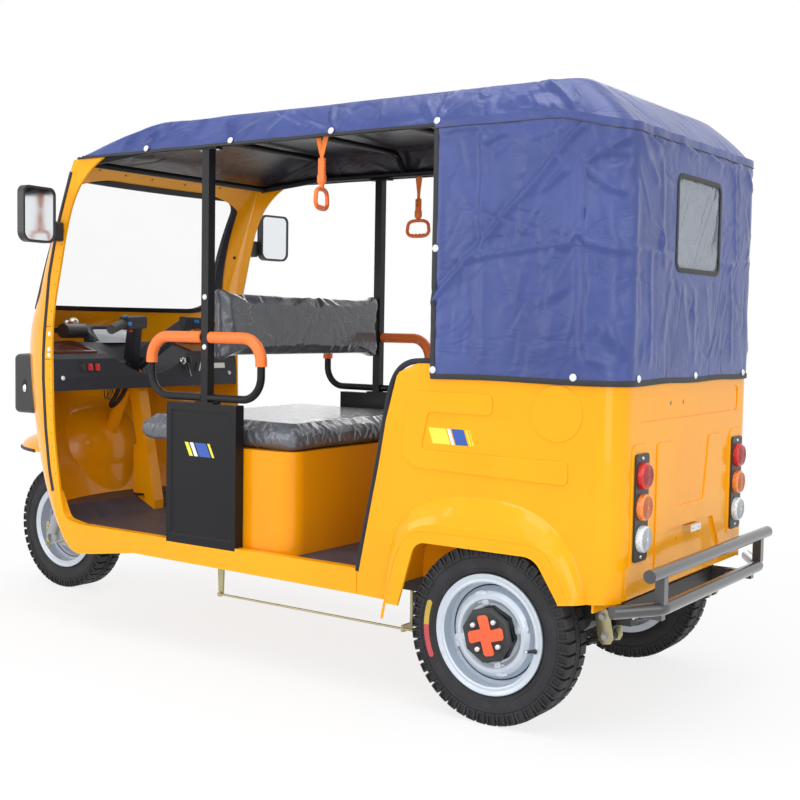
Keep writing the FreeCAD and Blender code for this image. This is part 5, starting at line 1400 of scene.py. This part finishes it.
wires = [
    {"finish": "cableBlack", "radius": 8, "end": "object",
     "line": [(60, -1930, 842), (66, -1945, 800), (84, -1962, 762), (58, -1975, 752), (30, -1950, 792),
              (22, -1930, 842)]},
    {"finish": "cableGreen", "radius": 2.0, "end": "object",
     "line": [(140, -1930, 842), (118, -1955, 796), (104, -1962, 782), (96, -1950, 815), (92, -1930, 842)]},
    {"finish": "cableGreen", "radius": 2.2, "end": "object",
     "line": [(120, -1935, 842), (98, -1960, 790), (86, -1960, 776), (80, -1940, 842)]},
    {"finish": "cableBlack", "radius": 4.0, "end": "bare",
     "line": [(456, -1850, 842), (452, -1868, 810), (440, -1880, 790), (462, -1885, 770)]},
]
wiper = {"facing": (0, 0.25, 0.97), "gearbox": (196, -2043, 1078), "crank": (232, -2036, 1076),
         "plug": (250, -1990, 1078)}


def onDash(x, z, out=0.0):
    # A point of the dash face, out millimetres in front of it.
    place = touch("dashboard", spot(x, -1700, z), (0, -1, 0))[0]
    return (place or spot(x, -1818, z)) + dash["facing"] * (out / 1000)


def makeSwitches():
    lean = dash["lean"]
    places = (dash["plainSwitch"],) + dash["rockers"]
    frames = [brick((25, 5, 32), onDash(x, z), 1.6, (lean, 0, 0)) for x, z in places]
    frames.append(brick((17, 6, 24), onDash(*dash["plainSwitch"], 2), 1.2, (lean + 0.1, 0, 0)))
    settle(together(frames), "switchFrames", "blackPlastic")
    rockers = []
    for x, z in dash["rockers"]:
        for rise, tip in ((6, 0.22), (-6, -0.16)):
            rockers.append(brick(dash["rocker"], onDash(x, z + rise, 3.2), 1.4, (lean + tip, 0, 0)))
    settle(together(rockers), "rockerSwitches", "redButton")
    screws = [dome(onDash(x, z), dash["facing"], 8.5, 5) for x, z in dash["screws"]]
    settle(together(screws), "dashScrews", "snap")


def makeKeys():
    settle(turned(dash["lock"], onDash(*dash["key"]), dash["facing"], 28), "keyLock", "chrome")
    centre = onDash(*dash["key"], 26)
    bow = brick((9, 22, 27), centre + Vector((-0.004, 0.004, 0.002)), 3.5, (0.1, 0.2, 0.15), 3)
    spare = brick((8, 9, 30), onDash(*dash["spareKey"], 11), 3.0, (0.1, 0.25, 0), 3)
    settle(together([bow, spare]), "keyHeads", "blackPlastic")
    blades = [brick((2.0, 7, 30), onDash(*dash["spareBlade"], 11), 0.6, (0.1, 0.3, 0)),
              brick((3.4, 14, 9), onDash(*dash["key"], 15), 0.6)]
    ring = turned(circle(0, 11, 0.8, 0.8, 7), onDash(*dash["keyRing"], 14), (0.4, 0.9, 0.1), 28)
    settle(together(blades + [ring]), "keyBlades", "chrome")
    lean = (dash["lean"], dash["cardLean"], 0)
    # The card slot is a dark block of painted shade.
    settle(brick((9, 4, 44), onDash(*dash["cardSlot"]), 1.2, lean), "cardSlot", "holeShadeAndSeams")
    settle(brick((8, 3, 40), onDash(*dash["cardTrim"]), 1.2, lean), "cardSlotTrim", "zinc")
    cover = brick((92, 5, 22), onDash(*dash["socketCover"]), 2.0, (dash["lean"], 0, 0))
    settle(cover, "socketCover", "zinc")


def onDisplay(place, outline):
    return [spot(*place) + (Vector((across, 0, 0)) + display["up"] * rise) / 1000 for across, rise in outline]


def makeDash():
    makeSwitches()
    makeKeys()
    # Screen in its frame, under a crinkled film.
    screen = plate(onDisplay(display["screenPlace"], display["screen"]), display["out"] * 3.0, 1.0)
    settle(screen, "displayScreen", "screenFilm")
    settle(tube(onDisplay(display["framePlace"], display["frame"]), 8.5), "displayFrame", "greyPlastic")
    for index, wire in enumerate(wires):
        makeWire("underDashWire." + str(index + 1), wire)
    gearbox = dome(spot(*wiper["gearbox"]), wiper["facing"], 22, 20)
    crank = dome(spot(*wiper["crank"]), wiper["facing"], 13, 12)
    settle(together([gearbox, crank]), "wiperGearbox", "zinc")
    settle(brick((16, 12, 12), spot(*wiper["plug"]), 2), "wiperPlug", "redButton")


def makeWire(name, form):
    # A short wire that hangs on one smooth line.
    line, radius = form["line"], form["radius"]
    data = bpy.data.curves.new(name, "CURVE")
    data.dimensions = "3D"
    data.resolution_u = 12
    spline = data.splines.new("NURBS")
    spline.points.add(len(line) - 1)
    for point, place in zip(spline.points, line):
        point.co = (*spot(*place), 1)
    spline.order_u = 3
    spline.use_endpoint_u = True
    wire = bpy.data.objects.new(name, data)
    bpy.context.collection.objects.link(wire)
    centre = bpy.data.meshes.new_from_object(wire)
    data.bevel_depth = radius / 1000
    data.bevel_resolution = 4
    data.use_fill_caps = True
    data.materials.append(finishes[form["finish"]])
    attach(wire, "body")
    tuple(spot(*line[0]))
    2 * radius / 1000


# Size, place, rounding and turn of each button on the bar.
barButtons = {
    "Blue": [((20, 12, 9), (213, -1735, 1104.5), 2.5, (0, 0, -0.2)),
             ((20, 8, 14), (207, -1719.5, 1078), 2.5, (0, 0, 0.2)),
             ((22, 8, 13), (-152, -1731, 1091), 2.5, (0, 0, -0.2))],
    "Red": [((11, 10, 9), (196, -1726, 1052), 2, (0, 0, 0)),
            ((20, 9, 10), (-158, -1735, 1060), 2, (0.3, 0, -0.2))],
}


def makeBarControls():
    for colour, buttons in barButtons.items():
        pieces = [brick(size, spot(*place), bevel, turn) for size, place, bevel, turn in buttons]
        settle(together(pieces), "barButtons" + colour, colour.lower() + "Button", "steering")


makeDash()
makeBarControls()
print("dash and controls finished")


# Lamps, plates and bumper fixings

lamp = {
    "across": 356.0, "base": 380.0, "radius": 36.0, "heights": {"red": 707.0, "amber": 624.0, "clear": 540.0},
    "rings": 5, "pitch": 5.2, "firstRing": 7.5, "screws": (753, 492),
    "plateScrews": [(-22, 392, 527.5), (22, 392, 527.5)],
}


def makeLens(centre):
    # A stepped lens, and thin dark rings of painted shade in its steps.
    radius = lamp["radius"]
    profile = [(0, radius - 2), (0, radius), (9, radius), (12, radius - 0.6), (16.5, radius - 5.5)]
    rings = []
    for step in range(lamp["rings"]):
        edge = radius - lamp["firstRing"] - step * lamp["pitch"]
        rise = 0.3 * step
        profile += [(16.9 + rise, edge), (17.9 + rise, edge - 2.6), (16.9 + rise, edge - 5.0)]
        rings.append(turned(circle(17.3 + rise, edge, 0.9, 1.3, 7), centre, (0, 1, 0), 40))
    profile += [(18.6, 1.8), (19.0, 0)]
    return turned(profile, centre, (0, 1, 0), 48), rings


def makeTailLamps():
    for name, high in lamp["heights"].items():
        lenses, rings = [], []
        for side in (-1, 1):
            lens, dark = makeLens(spot(side * lamp["across"], lamp["base"], high))
            lenses.append(lens)
            rings += dark
        stands = ("tail_lamps",) if name == "red" else ()
        settle(together(lenses), "tailLens." + name, name + "Lens", smooth=32, stands=stands)
        # The rings are painted shade in the lens steps.
        settle(together(rings), "tailLensRings." + name, name + "Deep")
    screws = [dome(spot(side * lamp["across"], lamp["base"], z), (0, 1, 0), 5.0, 2.6, 16)
              for side in (-1, 1) for z in lamp["screws"]]
    settle(together(screws), "lampPlateScrews", "chrome")
    screws = [dome(spot(*place), (0, 1, 0), 3.5, 1.6, 14) for place in lamp["plateScrews"]]
    settle(together(screws), "plateLampScrews", "zinc")


shackle = {
    "outline": [(-22, 34), (-12, 48), (12, 48), (22, 34), (22, -34), (12, -48), (-12, -48), (-22, -34)],
    "lean": Matrix.Rotation(math.radians(9), 4, "X"), "sides": ((387.2, 1), (332.5, -1)), "place": (297, 300),
    "thick": 4.5, "bolts": (27, -27),
}


def makeShackles():
    plates, heads = [], []
    for x, out in shackle["sides"]:
        centre = spot(x, *shackle["place"])
        corners = [centre + shackle["lean"] @ Vector((0, y / 1000, z / 1000)) for y, z in shackle["outline"]]
        plates.append(plate(corners, (out * shackle["thick"], 0, 0), 0.9))
        for rise in shackle["bolts"]:
            place = centre + shackle["lean"] @ Vector((out * shackle["thick"] / 1000, 0, rise / 1000))
            heads.append(bolt(place, (out, 0, 0), 8.5, 7, 1.35))
    settle(mirroredToo(together(plates)), "springShackles", "passivate")
    settle(mirroredToo(together(heads)), "shackleBolts", "zinc")


screwPlaces = {
    "bumper": (330, 352), "pillar": (1169.6, 1010), "pillarLine": -1078, "pillarTop": (-34, 34),
    "farArmrest": (-1027, -883), "nearArmrest": (-1027, -883, -1130, -1270),
}


def makeBolts():
    sides = (-1, 1)
    heads = [bolt(spot(side * x, 363, 331), (0, 1, 0), 6.5, 5) for side in sides
             for x in screwPlaces["bumper"]]
    settle(together(heads), "bumperBolts", "chrome")
    line = screwPlaces["pillarLine"]
    faces = [(spot(side * 483, line, z), (side, 0, 0)) for side in sides for z in screwPlaces["pillar"]]
    domes("pillarScrews", faces, 9.0, 5.0, "snap")
    tops = [(spot(side * 463, line + step, 1640), (-side * 0.2, 0, -1)) for side in sides
            for step in screwPlaces["pillarTop"]]
    domes("pillarTopScrews", tops, 8.0, 7.0, "snap")
    arms = [(spot(-452.5, y, 1027), (1, 0, -0.2)) for y in screwPlaces["farArmrest"]]
    arms += [(spot(452.5, y, 1027), (-1, 0, -0.2)) for y in screwPlaces["nearArmrest"]]
    domes("armrestScrews", arms, 5.0, 2.5, "zinc")


strapForm = {
    "near": {"foot": (462, -624), "top": 1662, "turn": 17.5, "spread": 20, "handle": 1462,
             "sleeve": (1504, 1584), "holes": ()},
    "far": {"foot": (-460, -899), "top": 1640, "turn": 90.0, "spread": 6, "handle": 1450,
            "sleeve": (1486, 1560), "holes": (50, 66)},
}
handleForm = {"wide": 47, "high": 29, "steps": 40, "radius": 6.6, "bumps": (-24, -8, 8, 24), "bumpDown": 23.5}


def signed(value, power):
    return abs(value) ** power * (1 if value >= 0 else -1)


def makeHandle(centre, turn):
    # A flat ring with finger bumps along its lower bar.
    form = handleForm
    across = Vector((math.cos(turn), math.sin(turn), 0))
    outline = []
    for step in range(form["steps"]):
        angle = math.tau * step / form["steps"]
        wide = form["wide"] * signed(math.cos(angle), 0.62)
        rise = form["high"] * signed(math.sin(angle), 0.72)
        wide *= 1 + 0.05 * (rise < 0)
        outline.append(centre + across * (wide / 1000) + Vector((0, 0, rise / 1000)))
    pieces = [tube(outline, form["radius"], closed=True)]
    for step in form["bumps"]:
        place = centre + across * (step / 1000) - Vector((0, 0, form["bumpDown"] / 1000))
        pieces.append(brick((10, 11, 9), place, 3.2, (0, 0, turn), 3))
    return pieces


def makeStraps():
    webs, grips, holes = [], [], []
    for form in strapForm.values():
        x, y = form["foot"]
        out = Vector((1 if x > 0 else -1, 0, 0))
        low, high = form["sleeve"]
        for leg in (-1, 1):
            path = []
            for share in np.linspace(0, 1, 12):
                gap = form["spread"] * (1 - share) ** 0.9 * leg
                path.append(spot(x + 3 * leg, y + gap, form["top"] + (high - 6 - form["top"]) * share))
            webs.append(strip(path, [out] * len(path), np.linspace(22, 10, 12), 2.0))
        grips.append(brick((13, 24, high - low), spot(x, y, (low + high) / 2), 4.5, segments=3))
        grips.append(brick((16, 27, 26), spot(x, y, low + 18), 4.0, segments=3))
        neck = low - form["handle"]
        grips.append(brick((11, 15, neck - 17), spot(x, y, low - neck / 2 + 15.5), 4.0, segments=3))
        grips += makeHandle(spot(x, y, form["handle"]), math.radians(form["turn"]))
        holes += [hole(spot(x + 6.4, y, low + rise), (1, 0, 0), 3, 2.8, 0.5, 12) for rise in form["holes"]]
    settle(together(webs), "strapWebs", "orangeWeb", stands=("grab_straps",))
    settle(together(grips), "strapHandles", "orangeFoam", smooth=60)
    settle(together(holes), "strapHoles", "holeShadeAndSeams")


makeTailLamps()
makeStraps()
makeShackles()
makeBolts()
print("lamps and fixings finished")


# Front: brake lever on the hub, mudguard lip, headlamp pods

brakeArm = {
    "x": 70.0, "thick": 6, "coils": 8, "coilSteps": 14, "coil": 8.0, "coilHigh": 40,
    "coilFoot": (73, -2338, 190),
    "plates": ([(-2346, 266), (-2335, 268), (-2324, 242), (-2330, 226), (-2340, 232), (-2348, 250)],
               [(-2346, 190), (-2330, 190), (-2327, 168), (-2334, 160), (-2346, 162), (-2351, 174)]),
    "rod": [(73, -2338, 236), (73, -2338, 168)],
    "pull": [(73, -2338, 170), (72, -2300, 182), (70, -2262, 196), (64, -2224, 210)],
}


def makeBrakeArm():
    body, form = "steering", brakeArm
    outlines = [[spot(form["x"], y, z) for y, z in outline] for outline in form["plates"]]
    plates = [plate(outline, (form["thick"], 0, 0), 1.2) for outline in outlines]
    settle(together(plates), "brakeLeverPlates", "passivate", body)
    coil = []
    count = form["coils"] * form["coilSteps"]
    for step in range(count + 1):
        turn = math.tau * step / form["coilSteps"]
        reach = Vector((math.cos(turn), math.sin(turn), 0)) * form["coil"]
        reach.z = step / count * form["coilHigh"]
        coil.append(spot(*form["coilFoot"]) + reach / 1000)
    settle(tube(coil, 1.7, resolution=2), "brakeSpring", "zinc", body)
    rod = tube([spot(*place) for place in form["rod"]], 4.0, smooth=False)
    settle(rod, "brakeSpringRod", "passivate", body)
    heads = [bolt(spot(76, -2333, 240), (1, 0, 0), 8, 7), bolt(spot(76, -2338, 174), (1, 0, 0), 7.5, 8)]
    settle(together(heads), "brakeLeverBolts", "passivate", body)
    settle(tube([spot(*place) for place in form["pull"]], 3.2), "brakePullRod", "zinc", body)


mudguardLip = {"axle": -2290, "below": 0.578, "step": 7.5, "widest": 100, "high": 571, "radius": 6.5}


def makeMudguardLip():
    # Follows the outermost points of the mudguard's lower edge, one in each small turn.
    form = mudguardLip
    node = nodes["front_mudguard"]
    low = {}
    for vert in node.data.vertices:
        place = node.matrix_world @ vert.co
        if place.z > form["below"]:
            continue
        x, y = place.x * 1000, place.y * 1000 - axleBack
        angle = round(math.degrees(math.atan2(x, form["axle"] - y)) / form["step"])
        reach = math.hypot(x, y - form["axle"])
        if abs(angle) * form["step"] <= form["widest"] and reach > low.get(angle, (0,))[0]:
            low[angle] = (reach, x, y)
    line = [spot(low[angle][1], low[angle][2], form["high"]) for angle in sorted(low)]
    if len(line) > 4:
        settle(tube(line, form["radius"]), "mudguardLip", "seal")


podLight = {"place": (424, -2041, 842), "opening": (13, 27), "steps": 24}


def makePodLights():
    centre = spot(*podLight["place"])
    wide, high = podLight["opening"]
    outline = []
    for turn in np.linspace(0, math.tau, podLight["steps"], endpoint=False):
        outline.append(centre + Vector((-0.5, wide * math.cos(turn), high * math.sin(turn))) / 1000)
    # The pod's opening is a dark plate of painted shade.
    settle(mirroredToo(plate(outline, (1.4, 0, 0), 0.4)), "podOpening", "holeShadeAndSeams")
    mark = dome(centre + Vector((0.0005, 0, -0.008)), (1, 0, 0), 15, 5)
    only(mark)
    bpy.ops.transform.resize(value=(1, 0.62, 1), center_override=centre)
    settle(mirroredToo(mark), "podSideLamp", "reflector")


makeBrakeArm()
makeMudguardLip()
makePodLights()
print("front details finished")


# Plain stripes on the side panels and boxes

# Each bar as the two ends of its lower edge.
stripes = {
    "sideStripes": {
        "face": 485.1, "low": 762, "high": 806, "lean": 16,
        "bars": {"stickerYellow": [(-196, -138), (-74, -69), (-64, -61)], "stickerWhite": [(-134, -124)],
                 "stickerBlue": [(-120, -80)]},
    },
    "boxStripes": {
        "face": 481.1, "low": 656, "high": 700, "lean": 22,
        "bars": {"stickerYellow": [(-1142, -1126), (-1042, -1032)], "stickerWhite": [(-1120, -1104)],
                 "stickerBlue": [(-1098, -1048)]},
    },
}


def makeStripes(name, form):
    for finish, bars in form["bars"].items():
        plates = []
        for start, end in bars:
            corners = [(start, form["low"]), (end, form["low"]), (end - form["lean"], form["high"]),
                       (start - form["lean"], form["high"])]
            plates.append(plate([spot(form["face"], y, z) for y, z in corners], (0.35, 0, 0)))
        settle(mirroredToo(together(plates)), name + "." + finish, finish)


for stripeName, stripeForm in stripes.items():
    makeStripes(stripeName, stripeForm)
print("stripes finished")


# Stage, light and camera

view = {
    "place": (3.365, 2.7185, 1.093),
    "right": (-0.5715, 0.8204, 0.0169),
    "up": (-0.0406, -0.04884, 0.99794),
    "ahead": (-0.81961, -0.56964, -0.06122),
    "lens": 55.485,
}


def makeCamera():
    bpy.ops.object.camera_add(location=view["place"])
    camera = bpy.context.object
    camera.name = "photoCamera"
    camera.data.lens = view["lens"]
    camera.data.sensor_width = 36.0
    camera.data.clip_end = 200.0
    columns = [Vector(view["right"]), Vector(view["up"]), -Vector(view["ahead"])]
    turn = Matrix(columns).transposed().to_4x4()
    camera.matrix_world = Matrix.Translation(view["place"]) @ turn
    bpy.context.scene.camera = camera


def makeStage():
    bpy.ops.mesh.primitive_plane_add(size=60, location=(0, 0, 0))
    floor = bpy.context.object
    floor.name = "floor"
    paint = Paint("paleFloor", Roughness=0.9)
    paint.set(Base_Color=rgb(0.86, 0.86, 0.86))
    glow = paint.node("ShaderNodeEmission", {}, {"Color": rgb(1, 1, 1), "Strength": 1.0})
    camera, gloss, through = [paint.node("ShaderNodeLightPath", {}, {}, ray)
                              for ray in ("Is Camera Ray", "Is Glossy Ray", "Is Transmission Ray")]
    light = camera.most(gloss).most(through)
    away = paint.node("ShaderNodeVectorMath", {"operation": "LENGTH"}, {0: paint.place}, 1)
    share = 0.8 + 0.2 * away.above(1.6, 3.6)
    lit = Flow(paint, paint.shader.outputs[0])
    surface = paint.node("ShaderNodeMixShader", {}, {0: light * share, 1: lit, 2: glow})
    paint.link(surface, paint.tree.nodes["Material Output"].inputs["Surface"])
    floor.data.materials.append(paint.material)


roomLight = {"colour": (0.93, 0.96, 1.0), "strength": 0.54}


def makeWorld():
    # A soft room that lights the part, and plain white where it is seen, mirrored or looked at through glass.
    world = bpy.data.worlds.new("softRoom")
    bpy.context.scene.world = world
    world.use_nodes = True
    tree = world.node_tree
    tree.nodes.clear()
    output = tree.nodes.new("ShaderNodeOutputWorld")
    mixer = tree.nodes.new("ShaderNodeMixShader")
    room = tree.nodes.new("ShaderNodeBackground")
    seen = tree.nodes.new("ShaderNodeBackground")
    path = tree.nodes.new("ShaderNodeLightPath")
    either = tree.nodes.new("ShaderNodeMath")
    either.operation = "MAXIMUM"
    anyRay = tree.nodes.new("ShaderNodeMath")
    anyRay.operation = "MAXIMUM"
    room.inputs["Color"].default_value = rgb(*roomLight["colour"])
    room.inputs["Strength"].default_value = roomLight["strength"]
    seen.inputs["Color"].default_value = rgb(1, 1, 1)
    seen.inputs["Strength"].default_value = 1.0
    tree.links.new(path.outputs["Is Camera Ray"], either.inputs[0])
    tree.links.new(path.outputs["Is Glossy Ray"], either.inputs[1])
    tree.links.new(either.outputs[0], anyRay.inputs[0])
    tree.links.new(path.outputs["Is Transmission Ray"], anyRay.inputs[1])
    tree.links.new(anyRay.outputs[0], mixer.inputs[0])
    tree.links.new(room.outputs[0], mixer.inputs[1])
    tree.links.new(seen.outputs[0], mixer.inputs[2])
    tree.links.new(mixer.outputs[0], output.inputs["Surface"])


lamps = {
    "overhead": {"place": (1.5, 1.0, 6.5), "aim": (0, 0, 0.8), "size": 6.0, "power": 310.0},
    "nearSide": {"place": (6.5, 0.5, 3.2), "aim": (0, 0, 0.9), "size": 4.5, "power": 62.0},
    "rearSide": {"place": (1.0, 7.5, 3.4), "aim": (0, 0, 0.9), "size": 4.0, "power": 82.0},
    "cameraFill": {"place": (4.6, 4.0, 1.5), "aim": (0, -0.6, 0.8), "size": 2.6, "power": 50.0},
    "cabFill": {"place": (3.4, -2.2, 1.6), "aim": (-0.2, -0.9, 0.7), "size": 1.6, "power": 26.0},
    "farSide": {"place": (-6.0, -3.0, 4.0), "aim": (0, 0, 0.9), "size": 4.0, "power": 95.0},
}


def makeLamps():
    for name, form in lamps.items():
        bpy.ops.object.light_add(type="AREA", location=form["place"])
        light = bpy.context.object
        light.name = name
        light.data.energy = form["power"]
        light.data.shape = "SQUARE"
        light.data.size = form["size"]
        direction = Vector(form["aim"]) - Vector(form["place"])
        light.rotation_euler = direction.to_track_quat("-Z", "Y").to_euler()


makeCamera()
makeStage()
makeWorld()
makeLamps()
bpy.context.scene.view_settings.view_transform = "Standard"
print("stage, lamps and camera set")
